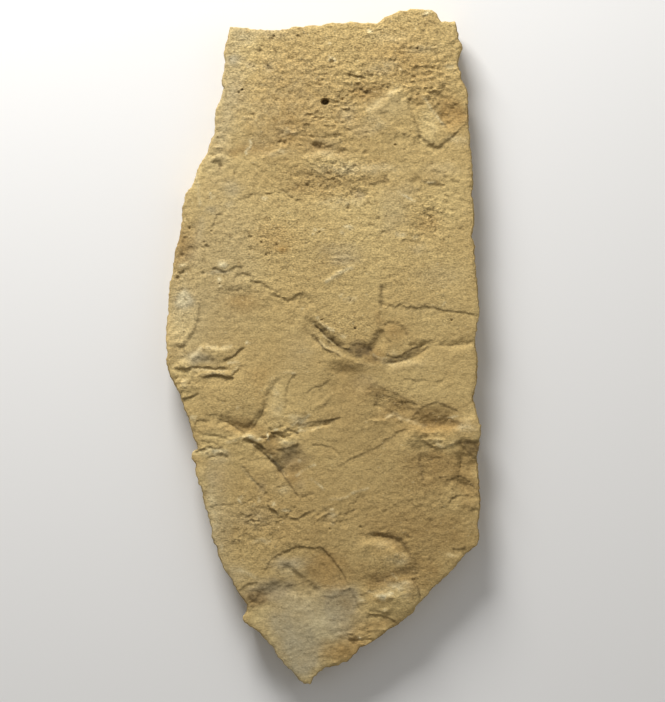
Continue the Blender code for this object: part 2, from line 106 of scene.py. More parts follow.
# Steps between bedding layers: path of the middle of the step, drop of the ground on the right
# hand of someone who walks it, reach of that ground, width of the slope, and the dirt and painted
# shade that darken it. Where the drop is negative, the ground on the right hand is the higher.
STEPS = (
    # The clearest track. Its left toe: the shaded wall, the crack at its foot, a second crack,
    # the bright far side and the lower crack.
    (((-6, 10.6), (-4.6, 9.2), (-3, 7.9), (-1.2, 6.9), (0.6, 5.4), (2.2, 4.1), (3.8, 2.7),
      (5.6, 1.1), (8.6, 0.7)), 0.75, 3.0, 1.9, 0.15),
    (((-3.4, 7.3), (-2.7, 7), (-1.5, 6.2), (-0.4, 5.2), (0.6, 3.9), (1.5, 3.2), (3, 2.4),
      (4, 1.5), (5, 0.5), (6.5, -0.4), (8, -0.8), (9.6, -1.2)), 0.45, 1.0, 0.6, 1.0),
    (((-0.8, 3.9), (0.5, 2.9), (2, 1.8), (3.2, 0.6), (4.2, 0), (5.4, -0.5), (7, -1.2)),
     0.2, 0.8, 0.45, 0.4),
    (((-2.3, 2.8), (-0.6, 0.8), (0.8, -0.3), (2.6, -1), (5, -2), (8, -3.4), (11, -5),
      (14.4, -6.2)), -0.35, 2.4, 0.8, 0.0),
    (((-2.6, 3.2), (-1.5, 1.7), (-0.6, 0.4), (0.1, -0.5), (1.2, -1.3), (2.5, -1.8),
      (3.8, -2), (4.8, -2.6), (6.4, -3.8)), 0.35, 2.4, 0.5, 0.7),
    (((-6, 6), (-4.4, 4.4), (-3.2, 3.3), (-2.2, 2.1), (-0.8, 0.6)), 0.4, 1.8, 1.2, 0.2),
    # Its hub, its middle toe, the domed pad beside that and the shaded fall of the heel.
    (((8.2, 0.3), (9.2, 0.8), (10.6, 1.2), (12, 1.3), (13.6, 1.2), (15.6, 1.8)),
     0.22, 1.6, 1.4, 0.1),
    (((6.6, -0.6), (9, -1.8), (10, -2.8), (11.6, -3.1), (13, -3), (14.2, -2.2), (15.4, -0.8),
      (16.4, 0.6)), 0.12, 1.4, 1.2, 0.3),
    (((13.8, -2.2), (15.3, -0.8), (16.5, 0.8), (17.4, 2.4), (18.3, 3.9), (19.4, 5.2),
      (21, 6.2)), 1.0, 2.4, 2.9, 0.25),
    (((19.8, 6.2), (21, 7.6), (22.6, 8.3), (24.4, 8.3), (26, 7.5), (27.6, 6), (28.4, 4.2),
      (28.6, 2)), 0.3, 2.4, 1.0, 0.35),
    (((0, -5.4), (4, -6.2), (8, -6.7), (11, -7.6), (14, -9), (18, -11)), 1.1, 9.0, 5.6, 0.0),
    # Its right toe: the crack, the shade above it, the dark slope, its lower edge.
    (((20.4, -2.9), (22, -3.1), (23.4, -3.4), (25, -3.6), (26.5, -3), (28, -2), (30, -0.8),
      (32, 0), (35, 0.9)), 0.4, 1.2, 0.5, 0.6),
    (((28.4, 0.6), (31, 1.1), (34, 1.4), (38, 1.7)), 0.5, 2.0, 1.6, 0.2),
    (((19.6, -4.8), (22, -4.8), (25, -4.5), (28, -3.2), (31, -2), (34.8, -0.4)),
     0.4, 2.0, 1.6, 0.3),
    (((19.6, -5.4), (21.4, -5.5), (23.4, -5.5), (26, -4.7), (29, -3.8), (31, -3.1), (33, -1.9),
      (35, -0.6), (37, 0.4)), 0.2, 2.5, 0.5, 0.4),
    (((21, -6.8), (24, -6.6), (27, -5.9), (31, -4.8), (35, -2.8)), -0.3, 9.0, 2.0, 0.0),
    # The creases from it to the right side and up to the long step.
    (((39, 1.4), (42, 1.7), (46, 2.1), (52.5, 3)), 0.5, 3.0, 2.6, 0.0),
    (((37.6, 0.6), (42, 0.3), (45, 0.7), (46.5, 0.8), (48, 0.8), (50, 1.6), (52.6, 2)),
     0.2, 1.0, 0.45, 0.35),
    (((38, -0.6), (44, -0.4), (52.4, 0.5)), -0.35, 9.0, 1.5, 0.0),
    (((18.6, 6.4), (18.8, 8.4), (19.2, 11.4)), 0.15, 2.0, 1.2, 0.2),
    (((19.2, 12.8), (19.3, 14.6), (19.5, 18), (19.6, 21.8)), 0.6, 2.4, 1.4, 0.5),
    # The long step across to the right side.
    (((18.6, 12.8), (20.3, 13.3), (21.3, 12.9), (22.5, 14), (23.3, 14.1), (24.5, 13.5), (26, 14.4),
      (27, 14), (28.5, 13.4), (30, 13.7), (32, 13.1), (34, 13.8), (35.2, 13.4), (37, 13.6),
      (38.5, 13.1), (41, 12.4), (44, 12.1), (46, 11.9), (48, 11.6), (50, 11), (54, 10.2)),
     0.35, 9.0, 0.45, 0.42),
    # The wavy steps on the left of the face.
    (((-38.6, 26.3), (-37, 26.9), (-36.2, 26.2), (-34.5, 25.8), (-33.6, 25.6), (-32.5, 26),
      (-30.5, 27), (-29, 27.2), (-26.4, 27.3)), 0.5, 3.0, 0.6, 0.5),
    (((-30, 25), (-29.2, 24.6), (-28.5, 24.5), (-27.5, 24.9), (-26.5, 24.9), (-25.5, 24.6),
      (-24, 23.5)), 0.35, 2.0, 0.5, 0.4),
    (((-25.6, 22.6), (-23, 22), (-21.5, 22), (-20.5, 21.5), (-18.8, 20.3), (-17.5, 19.5),
      (-16, 18.6), (-15, 18.2)), 0.32, 1.6, 0.7, 0.2),
    (((-18, 18.4), (-16.5, 17.5), (-14, 16.8), (-13, 16.2), (-12.3, 15.6), (-11.2, 16.2),
      (-9.5, 17.3), (-8.5, 18), (-7.2, 18.3)), 0.45, 5.0, 0.5, 0.3),
    (((-8, 18.4), (-6.5, 18), (-5.5, 17), (-4.5, 16), (-3, 14.6)), 0.5, 4.0, 1.3, 0.15),
    (((-33, 19.6), (-31.8, 19.2), (-30, 19.4), (-28.5, 19.1)), 0.25, 3.0, 0.5, 0.3),
    (((-36, 19.8), (-31, 20.4), (-26, 19.8), (-22.4, 18.6)), 0.35, 4.0, 2.0, 0.0),
    (((-46.5, 33.9), (-45, 33.5), (-43.8, 32.8), (-43.2, 32.2)), 0.2, 1.6, 0.5, 0.3),
    (((-50, 25.3), (-48.5, 25.3), (-47.3, 25.8)), 0.35, 2.0, 0.7, 0.4),
    (((-41.6, 23), (-41.2, 27), (-41, 31), (-41.4, 35)), 0.25, 2.0, 1.3, 0.0),
    # The upper middle: an arched crack, a line at the left and short ones at the right.
    (((-30, 49.9), (-28.5, 50.3), (-27, 50.6), (-25, 51.2), (-24.3, 51.9), (-23, 52.3),
      (-21.5, 51.7), (-20, 51.8), (-18.5, 52.1), (-17, 52.2), (-16.3, 51.4)), 0.22, 2.4, 0.5, 0.35),
    (((-15.3, 51.8), (-15, 52.9), (-14, 53.1), (-13, 52.8), (-12.3, 51.8), (-11.5, 51),
      (-10.3, 50.3), (-9.5, 49.9), (-7, 50)), 0.22, 1.6, 0.5, 0.35),
    (((-37.5, 40), (-37.2, 41.5), (-36.8, 43), (-36.2, 44.3), (-35.8, 45), (-34.5, 45.3),
      (-33.5, 45.2)), 0.2, 1.4, 0.5, 0.25),
    (((5.4, 61.7), (6.5, 61.4), (7.8, 60.9), (8.8, 60.3), (10, 59.7)), 0.2, 1.6, 0.5, 0.2),
    (((8.6, 56.4), (10.3, 55.7), (11.5, 54.9), (13, 54.8)), 0.25, 1.6, 0.8, 0.15),
    (((15, 55.4), (17.5, 55.4), (20, 55.9), (22.4, 57.2)), 0.3, 2.0, 0.9, 0.3),
    (((31.4, 58.8), (33, 57), (34, 56), (36, 55.7), (38, 55.2), (41, 55)), 0.35, 3.0, 1.6, 0.1),
    (((37, 59.6), (40, 59.2), (43, 57.6), (45.4, 56.2)), 0.3, 2.4, 1.2, 0.0),
    (((35, 47.4), (37, 46.8), (40, 46.4)), 0.2, 3.0, 1.0, 0.05),
    (((26, 36.2), (28.5, 36), (31, 36), (33.4, 35.6)), 0.3, 2.4, 0.9, 0.3),
    (((8.6, 52.6), (11, 53.2), (13.6, 52.6), (15.4, 51)), 0.35, 2.0, 1.6, 0.1),
    # The second track. Its curved toe: the dark left side, the right side.
    (((-21.2, -22.6), (-20.6, -20.6), (-20, -18.4), (-19.2, -16.2), (-18.2, -14.2),
      (-17, -12.4), (-15.6, -11), (-13.8, -9.8)), 0.55, 2.6, 1.9, 0.12),
    (((-13.2, -21.6), (-12.9, -20), (-13, -18), (-12.9, -16), (-12.3, -13.8), (-11.2, -11.4),
      (-10.2, -9.9), (-8.8, -8.4)), 0.28, 2.6, 0.6, 0.25),
    # The hollow under the dome, its lower edge and the bright ground below.
    (((-36, -22.8), (-33, -24), (-30.6, -25.3), (-28.6, -26.6), (-26.6, -27.2), (-25, -26.8),
      (-23.8, -25.6)), 0.6, 2.4, 1.6, 0.25),
    (((-27, -27.4), (-25.6, -26.9), (-24, -25.2), (-22.6, -23), (-21.4, -21)),
     0.35, 2.0, 1.2, 0.3),
    (((-36, -24.2), (-33, -25.4), (-31, -26.5), (-29, -27.9), (-27.5, -29), (-26.2, -30.2)),
     0.3, 0.8, 0.5, 0.6),
    (((-36, -26), (-32, -27.4), (-29, -29.4), (-27, -31)), -0.3, 5.0, 1.6, 0.0),
    (((-25, -28.6), (-23.6, -27), (-22.4, -25), (-21.2, -22.8), (-20.2, -20.6)),
     0.3, 1.6, 0.5, 0.5),
    (((-20.6, -22.6), (-20, -25.2), (-19.1, -27), (-17.6, -28.4)), 0.3, 1.6, 0.5, 0.3),
    # Its right toe, a dark band between two cracks.
    (((-9.4, -27.6), (-7.2, -26.6), (-5, -26), (-3, -25.6), (0, -25.2), (2, -24.7), (4, -24.4),
      (6.4, -24.1)), 0.35, 1.0, 0.5, 0.6),
    (((-8, -27.8), (-5, -27), (-2, -26.3), (1, -25.7), (4.4, -24.9)), 0.55, 1.2, 1.4, 0.4),
    (((-5, -29.2), (-3.2, -28.2), (-1.2, -27.3), (1.4, -26.4)), -0.35, 3.0, 0.6, 0.0),
    (((-12.8, -27.8), (-11.2, -28.4), (-10, -28.8), (-8, -29.5)), 0.45, 1.2, 0.6, 0.6),
    # Its heel: the bright lip, the broken pad and the hollow.
    (((-36, -33.4), (-32, -31.6), (-30, -30.8), (-28, -30.4), (-26.5, -29.6)),
     -0.25, 3.0, 0.8, 0.0),
    (((-28, -31), (-26.5, -30.2), (-25, -29.8), (-23.5, -30.3), (-21.8, -31.5), (-20, -32.8)),
     -0.55, 2.0, 0.9, 0.0),
    (((-27.6, -31.4), (-26, -31.5), (-24.5, -32), (-22.8, -33), (-21, -34), (-19.4, -35.3)),
     0.8, 1.4, 0.7, 0.6),
    (((-22.8, -30.9), (-20.8, -31), (-18.8, -30.8)), 0.3, 1.0, 0.5, 0.3),
    (((-18.6, -29.6), (-17, -29.2), (-15, -29.6), (-13, -30.2), (-11, -30.4)),
     0.5, 2.2, 0.7, 0.3),
    (((-15.8, -32.8), (-13.6, -31.4), (-11, -30.7), (-8.4, -30.3)), -0.5, 3.0, 1.0, 0.0),
    (((-16.4, -35), (-14, -34.9), (-12, -34.6), (-10, -33.9), (-8, -32.8)), 0.6, 6.0, 0.8, 0.5),
    (((-17, -44.6), (-14.6, -40), (-12, -37.2), (-7, -34.4)), 1.3, 6.0, 5.0, 0.1),
    (((-17.4, -37.4), (-15, -39.4), (-12.8, -42)), 0.3, 3.0, 1.6, 0.1),
    (((-10.4, -27.4), (-8, -25), (-5.4, -22.6)), 0.35, 2.4, 2.6, 0.1),
    (((-6.2, -16.4), (-4.5, -14.7), (-3.2, -13.8), (-1, -13.6), (0.5, -12.5), (2.6, -10.8)),
     0.2, 2.0, 0.5, 0.25),
    # Its back toe: two cracks with a thin ridge between them, and the lines that go on from it.
    (((-18.6, -37.2), (-17.5, -38.3), (-16, -40), (-14.5, -41.8), (-13.2, -43.2),
      (-11.6, -44.4)), 0.35, 1.6, 0.6, 0.5),
    (((-25, -32.6), (-23.5, -33.6), (-21.5, -35.2), (-20, -36.7), (-18.5, -38.2), (-17, -39.8),
      (-15.5, -41.5), (-14, -43.5), (-12.4, -45.6)), 0.4, 1.8, 0.6, 0.7),
    (((-23.4, -33.2), (-21, -34.6), (-19, -36), (-16.6, -37.6)), 0.6, 4.0, 1.6, 0.3),
    (((-13.4, -44.8), (-12, -46), (-11.5, -47), (-10.5, -48), (-9.8, -49.2), (-8.8, -50.5),
      (-7.6, -52)), 0.4, 2.4, 0.6, 0.7),
    (((-16.4, -47.5), (-13.5, -47.2), (-11.2, -47.3)), 0.15, 1.6, 0.5, 0.2),
    (((-7.8, -51.1), (-6.3, -50.8), (-5, -50.3), (-3.3, -49.8)), 0.2, 1.6, 0.5, 0.25),
    # The raised sheet at the left edge, the ledges below it and the cracked edge.
    (((-51, -6.8), (-48, -5.4), (-46, -4.6), (-44.5, -3.3), (-43, -1.8), (-41.8, -0.4),
      (-40.6, 0.2), (-38.4, -0.3), (-36, -0.8), (-33, -0.3), (-29.6, 0.2)), -0.8, 7.0, 1.3, 0.0),
    (((-51.6, -7), (-48.5, -7.5), (-46, -7.7), (-44.5, -7), (-42, -7), (-40, -6.8),
      (-38.5, -7), (-37, -7.6), (-35.5, -7.2), (-33, -7.3), (-31, -7)), 0.6, 2.4, 0.6, 0.5),
    (((-48, -4.8), (-44, -4.2), (-40, -4), (-36, -4.6), (-32, -6)), 0.3, 5.0, 2.4, 0.0),
    (((-47, -8.6), (-43, -7.9), (-39, -7.9), (-35, -8.4), (-31, -8.4)), -0.25, 1.6, 0.7, 0.0),
    (((-43, -9.2), (-39, -8.8), (-35, -8.9), (-31, -9.2)), -0.2, 1.6, 0.6, 0.0),
    (((-34.6, -4.4), (-33, -4.2), (-31.5, -3.6), (-30, -2.8), (-29, -1.8), (-28.2, -0.9),
      (-26.6, -0.2)), 0.6, 1.6, 0.5, 0.6),
    (((-42, -10.5), (-40, -10.2), (-38, -9.9), (-36, -10), (-34, -10.3), (-31, -10.6),
      (-29.4, -10.4)), 0.8, 4.0, 0.7, 0.8),
    (((-31.2, -10.4), (-30.4, -9), (-28.9, -8), (-28.2, -6.2)), 0.4, 1.6, 0.6, 0.0),
    (((-54.4, 0), (-52.4, 0.3), (-50, 0.5), (-48.4, 0.1), (-47.2, 1.2), (-46, 2.5), (-45, 4),
      (-43.9, 5.2), (-43.3, 7), (-43, 9.2), (-42.4, 12), (-42.3, 16.4)), 0.45, 2.4, 1.1, 0.3),
    (((-44.4, -35.8), (-43, -35.4), (-41, -34.9), (-39.5, -34.2), (-38, -34.3), (-36, -34.6),
      (-33.6, -34.2)), 0.45, 2.0, 0.5, 0.8),
    (((-40, -36.8), (-38, -37), (-35.6, -36.6), (-32, -37.4)), 0.35, 3.0, 0.8, 0.35),
    (((-40.8, -23.8), (-38, -23.2), (-35.6, -22.6)), 0.25, 2.0, 0.5, 0.35),
    (((-38, -16.6), (-34.8, -18.4), (-32, -18.6)), 0.2, 2.0, 0.5, 0.0),
    (((-49, -17.5), (-47, -17.7), (-44.8, -17.2), (-42.2, -15.9)), 0.5, 3.0, 0.5, 0.6),
    (((-45.6, -28.4), (-43.8, -28), (-43.4, -26), (-42, -25.2), (-38, -25.2)), 0.3, 2.4, 0.5, 0.4),
    (((-43.4, -29), (-40, -29.8), (-36, -30.2), (-32, -32)), 0.35, 1.6, 0.6, 0.0),
    (((-42, -31.6), (-38.6, -32.6), (-35, -33)), 0.25, 1.4, 0.5, 0.0),
    (((-40, -26.6), (-35, -27.2), (-31, -28.6)), -0.3, 1.8, 0.8, 0.0),
    (((-40.8, -40.4), (-40.4, -43), (-40.2, -46.4), (-39.4, -50)), -0.25, 1.6, 0.6, 0.0),
    # The lens hollow: its crisp upper edge, its shaded floor, its lower edge.
    (((29.6, -25.4), (30.3, -24.2), (31.3, -22.4), (33, -21), (35, -20.2), (37, -19.5),
      (38.3, -18.9), (40, -19.5), (42, -20.5), (44, -21.2), (45.4, -22), (46.4, -23.4)),
     0.3, 9.0, 0.6, 0.5),
    (((28.6, -25.8), (31, -24.8), (34, -23.9), (38, -23.6), (42, -23.8), (45, -25.2), (48, -27.4)),
     1.0, 3.0, 7.0, 0.1),
    (((36, -25.6), (39, -24.8), (42, -24.8), (44.6, -25.4), (47.4, -26.6)), 0.3, 2.0, 1.4, 0.3),
    (((29.6, -25.6), (31.4, -26.8), (33, -27.9), (35, -28.8), (37, -28.7), (39, -28.1),
      (41, -27.5), (44, -27.4), (48, -27.8)), -0.7, 6.0, 1.1, 0.0),
    # The hollow left of the lens: its edge, its shaded floor, its foot.
    (((14.6, -15), (16.4, -13.8), (18, -13), (20.5, -14.5), (24, -15.5), (27, -17),
      (30, -18.6), (33, -20)), 0.2, 3.0, 0.8, 0.25),
    (((14.6, -15.6), (18, -16), (22, -17.4), (26, -19.4), (29.4, -21), (32, -22.6)),
     0.75, 4.0, 4.6, 0.15),
    (((17, -18.6), (20, -20.4), (22, -21.6), (25, -23.6), (29.6, -25)), 0.3, 1.2, 1.0, 0.3),
    (((24.8, -18.9), (28, -18.8), (30.4, -19.2), (31.2, -20.6), (30.6, -23)), 0.15, 2.0, 0.6, 0.1),
    # The thin ridge under both, the raised lobe, and the notch at the right side.
    (((14.6, -24.2), (17, -25), (19.5, -24.8), (22, -23.8), (23.8, -23.1), (25, -24),
      (27, -24.8), (29.5, -25.3), (32, -26.2), (35, -27.7), (37.6, -28.6)), -0.5, 2.4, 0.6, 0.0),
    (((29.6, -25.8), (34, -28), (37.4, -29.8), (41, -32)), -0.4, 5.0, 1.3, 0.0),
    (((45, -25), (48.6, -24.8), (51.6, -23.6), (55, -22.6)), -0.35, 9.0, 1.6, 0.0),
    (((33.6, -31.8), (36, -33.4), (38.5, -34.5), (41.5, -34.5), (44.4, -33.4)),
     0.4, 3.0, 0.9, 0.2),
    (((43.6, -33.6), (45.6, -32.6), (47.4, -32), (50, -32.4), (54.6, -31.8)), 0.5, 4.0, 1.4, 0.3),
    (((44.6, -36.4), (47, -36.6), (50, -37.2), (54.6, -37)), 1.3, 5.0, 7.0, 0.0),
    (((45.4, -32), (46.6, -33.2), (48, -34.8), (50, -36.6), (53.4, -39.8)), 0.25, 2.0, 0.6, 0.45),
    (((29.6, -33.4), (32, -34), (35, -33.2), (38, -33.2)), 0.3, 2.6, 0.9, 0.1),
    # Creases and cracks on the lower right.
    (((42.6, -36.4), (45, -36.7), (46, -37.5), (46.8, -39), (47.4, -40.4)), 0.2, 2.0, 0.5, 0.25),
    (((35, -39.6), (37, -38), (39.6, -37.1)), 0.2, 2.0, 0.6, 0.0),
    (((26.4, -11.4), (29.5, -11), (31, -11.8), (34, -11.6), (36, -11.6), (38, -12),
      (39.5, -12.2), (41, -11)), 0.18, 2.0, 0.45, 0.35),
    (((34.4, -46.6), (33.8, -44), (33, -41), (32.5, -38), (32.6, -35.6)), 0.5, 5.0, 1.4, 0.35),
    (((38, -45.2), (40.6, -44.5), (43, -45.2), (46, -44.2), (48.6, -45), (52, -48.6)),
     0.35, 4.0, 0.6, 0.45),
    (((45.4, -45), (48.4, -46.6), (50.6, -48.8), (53.4, -52)), 0.6, 3.0, 2.2, 0.15),
    (((42, -53.5), (43.5, -52), (45, -51), (47, -50.7), (50, -50.6)), 0.3, 2.4, 0.5, 0.35),
    (((47.6, -54.2), (50, -55.5), (53, -55.2)), 0.3, 2.4, 1.0, 0.1),
    (((48, -57.5), (50, -60.5), (52, -62.5)), -0.25, 2.0, 0.5, 0.3),
    (((43.6, -68.6), (46, -69), (49, -68.8)), 0.45, 1.6, 0.8, 0.4),
    (((40, -71.2), (44, -71), (48, -71.2)), -0.25, 2.0, 0.9, 0.0),
    (((2, -41.6), (5.5, -40.6), (9, -38.2), (12, -37), (15, -35.6), (17.5, -34.7),
      (19.5, -33.6), (21, -31.6), (23, -30.6), (25, -29), (26.5, -28.3), (28, -28.4),
      (29, -29.5), (30.4, -30.8)), 0.22, 2.6, 0.45, 0.3),
    (((-5, -34.2), (-3.5, -33.6), (-1, -33.5), (1, -33.8), (2.5, -34.4), (4, -35.3),
      (5.3, -36.5), (6.4, -38.4)), 0.18, 1.6, 0.45, 0.3),
    (((0.3, -57.9), (1.5, -57), (2.2, -56.9)), 0.25, 1.2, 0.5, 0.35),
    (((8.5, -54), (9.2, -53.3), (10.5, -53), (11.4, -52.3), (11.6, -51.3), (12.5, -50.8),
      (14.6, -50.8)), 0.2, 2.0, 0.5, 0.25),
    (((5, -57.2), (7, -57), (8.5, -56.2), (11, -55.6)), 0.25, 2.0, 0.5, 0.3),
    (((4, -59.8), (6, -59.3), (8.4, -58.9)), 0.2, 2.0, 0.9, 0.0),
    (((20, -56), (23, -54.5), (25, -53.5), (27, -52.5), (30, -52)), 0.2, 2.4, 0.8, 0.1),
    (((27.6, -63), (29.5, -65)), 0.25, 1.4, 0.5, 0.3),
    # The middle left: thin cracks and a soft diagonal band.
    (((-29.6, -38.9), (-28.4, -38.4), (-27, -38), (-25, -38.7), (-23.5, -38.5), (-22, -38),
      (-20.5, -38.2), (-18.6, -38.9)), 0.15, 1.6, 0.45, 0.3),
    (((-28.5, -39.6), (-26.5, -41.5), (-25, -44), (-23.5, -45.5), (-21.5, -47.5), (-20, -49),
      (-19, -50.3), (-18.5, -51.5)), 0.4, 2.4, 0.8, 0.25),
    (((-15.7, -57.2), (-16.1, -56.3), (-16.5, -55.7), (-17.3, -55.4), (-18.2, -54.9),
      (-18.9, -53.2)), -0.6, 1.6, 0.6, 0.7),
    (((-15.5, -57.3), (-13.8, -58.4), (-12.5, -58), (-11.5, -58.4), (-8.8, -58.6), (-7.8, -58),
      (-6.5, -57.3), (-5.3, -56.3), (-4, -56.1), (-3, -56.1), (-2.2, -56.8)),
     0.3, 2.4, 0.5, 0.4),
    (((-13.4, -57.9), (-11, -56), (-9.6, -54.6)), 0.2, 1.4, 0.45, 0.25),
    (((-13.6, -59.3), (-14.8, -59.8), (-15.1, -60.8), (-16.4, -61)), 0.25, 1.4, 0.6, 0.4),
    (((-28.6, -57.2), (-25, -57.3), (-21.6, -56.6)), 0.2, 1.4, 0.5, 0.15),
    (((-27, -59.5), (-25, -59.2), (-23, -59)), 0.2, 1.4, 0.5, 0.2),
    (((-24, -60.5), (-21.5, -60.6), (-18.6, -60.9)), 0.2, 1.4, 0.5, 0.2),
    (((-38.8, -54.9), (-36.5, -54), (-35, -53.8), (-31, -54)), 0.2, 1.4, 0.45, 0.25),
    # The narrow end: the arc, the edges of the grey plate inside it, then the two mounds.
    (((-21, -77.6), (-19, -74.5), (-18, -73), (-17, -72), (-15, -70.7), (-12, -69.3), (-9, -68)),
     0.25, 2.4, 0.5, 0.2),
    (((-14.4, -70.4), (-12.6, -69.5), (-11, -68.6), (-9, -67.9), (-7.5, -68.2), (-5, -68.4),
      (-3, -68.7), (-1.5, -68.2), (-0.2, -68.7), (0.7, -69.5), (2, -71), (4.5, -74), (6.5, -77),
      (8.7, -81.3)), 0.55, 6.0, 0.5, 0.4),
    (((8.7, -81.6), (10.2, -84.4), (11.4, -87), (12.6, -90)), 0.4, 3.0, 0.6, 0.15),
    (((-14.4, -73), (-12, -74.4), (-10, -76), (-8, -77.7), (-6, -79.2), (-4, -80.8), (-2, -82.5),
      (-0.6, -83.4)), 0.6, 5.0, 1.5, 0.2),
    (((-0.6, -82.2), (3, -82), (6, -82.3), (9.4, -82)), -0.2, 2.0, 0.5, 0.0),
    (((-29, -83), (-27, -81.7), (-25, -80.5), (-22, -80)), 0.4, 4.0, 0.6, 0.3),
    (((-27, -87.6), (-21, -83), (-15.4, -80.8), (-9, -80), (-3, -81.6)), 0.55, 5.0, 4.4, 0.0),
    (((-22, -84.4), (-17, -84.8), (-12, -84), (-6, -84.8)), -0.35, 4.0, 1.6, 0.0),
    (((14, -63.4), (15.5, -63.5), (19, -63.8), (22, -64.3), (25, -65), (27, -66.5),
      (28.5, -69), (29.4, -71.4), (29.6, -74)), 0.75, 1.6, 1.5, 0.5),
    (((9, -67.4), (13, -66.4), (17, -66.2), (20.6, -66.8), (23.6, -68.2), (26, -70.6),
      (27.6, -73.6)), -1.0, 6.0, 2.9, 0.0),
    (((31.5, -74.4), (30.9, -72), (30.4, -70.4)), 0.3, 2.0, 1.0, 0.15),
    (((37.2, -74.4), (36, -72.4), (34.8, -70.6)), 0.3, 2.0, 1.0, 0.15),
    (((17, -81.6), (19, -80.6), (21.4, -79.6), (23.6, -79), (26, -78.9), (28.5, -79.4),
      (30.4, -80.6), (31.8, -82.6), (32.6, -85.4)), -0.65, 7.0, 1.6, 0.0),
    (((33.2, -86.6), (32.9, -84.4), (32.2, -82.2), (31, -80.4), (29.4, -79.2)), 0.5, 2.4, 0.6, 0.6),
    (((17.4, -82.4), (19, -83.2), (21, -83.4)), -0.4, 1.4, 0.8, 0.3),
    (((14.6, -90.9), (15.5, -91), (18, -91.3), (20, -91.6), (22, -92.3), (24, -93.2),
      (25.8, -94.1)), 0.6, 3.0, 0.6, 0.5),
    (((15, -89.5), (18, -89.8), (20.5, -90.3), (23.4, -91.8)), 0.3, 1.4, 1.0, 0.15),
    (((12.2, -84.8), (15, -83.8), (18, -82.6)), 0.35, 1.5, 0.9, 0.2),
    (((8.6, -99.2), (10, -99.6), (12, -100)), 0.35, 1.6, 1.0, 0.15),
    # The wide end, from its left to its right.
    (((-8, 62.4), (-5, 64.8), (-1, 66), (4, 65.6), (8, 64), (12, 61.4)), -0.38, 12.0, 2.4, 0.0),
    (((-26.6, 63.8), (-24, 64), (-20, 65.5), (-16, 67), (-12, 69.5)), -0.35, 3.5, 1.4, 0.0),
    (((-41, 63.6), (-36, 64.6), (-31, 64), (-26.6, 63.8)), -0.25, 3.0, 1.0, 0.0),
    (((-16, 69.9), (-13.2, 70.3)), 0.3, 1.2, 0.7, 0.4),
    (((-3.2, 78.3), (-0.4, 77.4)), 0.3, 1.2, 0.9, 0.35),
    (((-6.2, 75.8), (-4.3, 75.5)), 0.3, 1.2, 0.7, 0.35),
    (((-4, 68.6), (-2.8, 68.9), (-1.4, 68.6), (-0.2, 68.4)), 0.5, 1.6, 1.0, 0.3),
    (((-3.8, 69.8), (-5, 71.6), (-6, 73.2), (-7.2, 75.6)), 0.3, 3.0, 0.9, 0.2),
    (((8.4, 92.6), (10, 92), (11.5, 91.8), (13, 91.6), (14.7, 91.1)), 0.55, 2.2, 0.7, 0.7),
    (((12.8, 92.9), (15, 92.4), (17.2, 92.3)), 0.3, 1.6, 0.5, 0.4),
    (((10.8, 88.7), (13, 87.5), (14, 86.8), (15, 86.3), (16.8, 86.9)), 0.5, 1.6, 1.1, 0.7),
    (((20.3, 89.2), (22.7, 87.3)), 0.3, 1.6, 0.7, 0.4),
    (((13, 78.4), (14.8, 79.8), (17.8, 81.7), (20.8, 84.2), (23.6, 86.8), (28, 88.6)),
     -0.75, 12.0, 2.8, 0.0),
    (((40.5, 76), (42, 74.2), (44, 73.2), (46, 74.1), (48, 76.1), (49.6, 77.2)),
     -0.35, 2.0, 1.0, 0.0),
    (((33, 70), (32.4, 72.6), (31.6, 75.4), (30.4, 78.4), (29, 81.4), (28, 84.4)),
     0.6, 3.0, 1.2, 0.2),
    (((32.4, 72.4), (33.6, 70.8), (35, 69.8), (36.5, 68.8), (38, 68), (39, 67.7), (40, 68.1),
      (41, 69)), 0.7, 3.0, 1.2, 0.4),
    (((39.4, 68.2), (41, 69.2), (42, 70), (44, 71.7), (47, 74.7), (49.8, 77.2)),
     0.4, 2.8, 0.6, 0.3),
    (((42.6, 73.4), (41.2, 75.6), (39.4, 78.6), (37, 82.4), (34.8, 86)), 0.8, 7.0, 1.1, 0.3),
    (((24.2, 71.7), (26.5, 71.4), (28.8, 71.7)), 0.3, 2.0, 1.2, 0.1),
    (((17, 107.3), (20, 108), (22, 109.5), (23.2, 111.2)), 0.3, 2.0, 0.5, 0.35),
    (((33.6, 112.2), (35.7, 112.7)), 0.35, 1.6, 0.6, 0.5),
    (((30, 95.2), (35, 95.2), (40, 95.6), (43, 96.3)), 0.2, 3.0, 0.6, 0.08),
    (((26, 101), (30, 101.6), (34, 100.8), (38, 102)), 0.25, 3.0, 1.0, 0.0),
)

# Soft grooves: path, half width, depth.
GROOVES = (
    (((-16.8, -38.4), (-15, -40.6), (-13, -43.4)), 0.7, 0.15),
    (((-9, -27), (-6, -25.2), (-4.4, -23.8)), 0.5, 0.2),
)

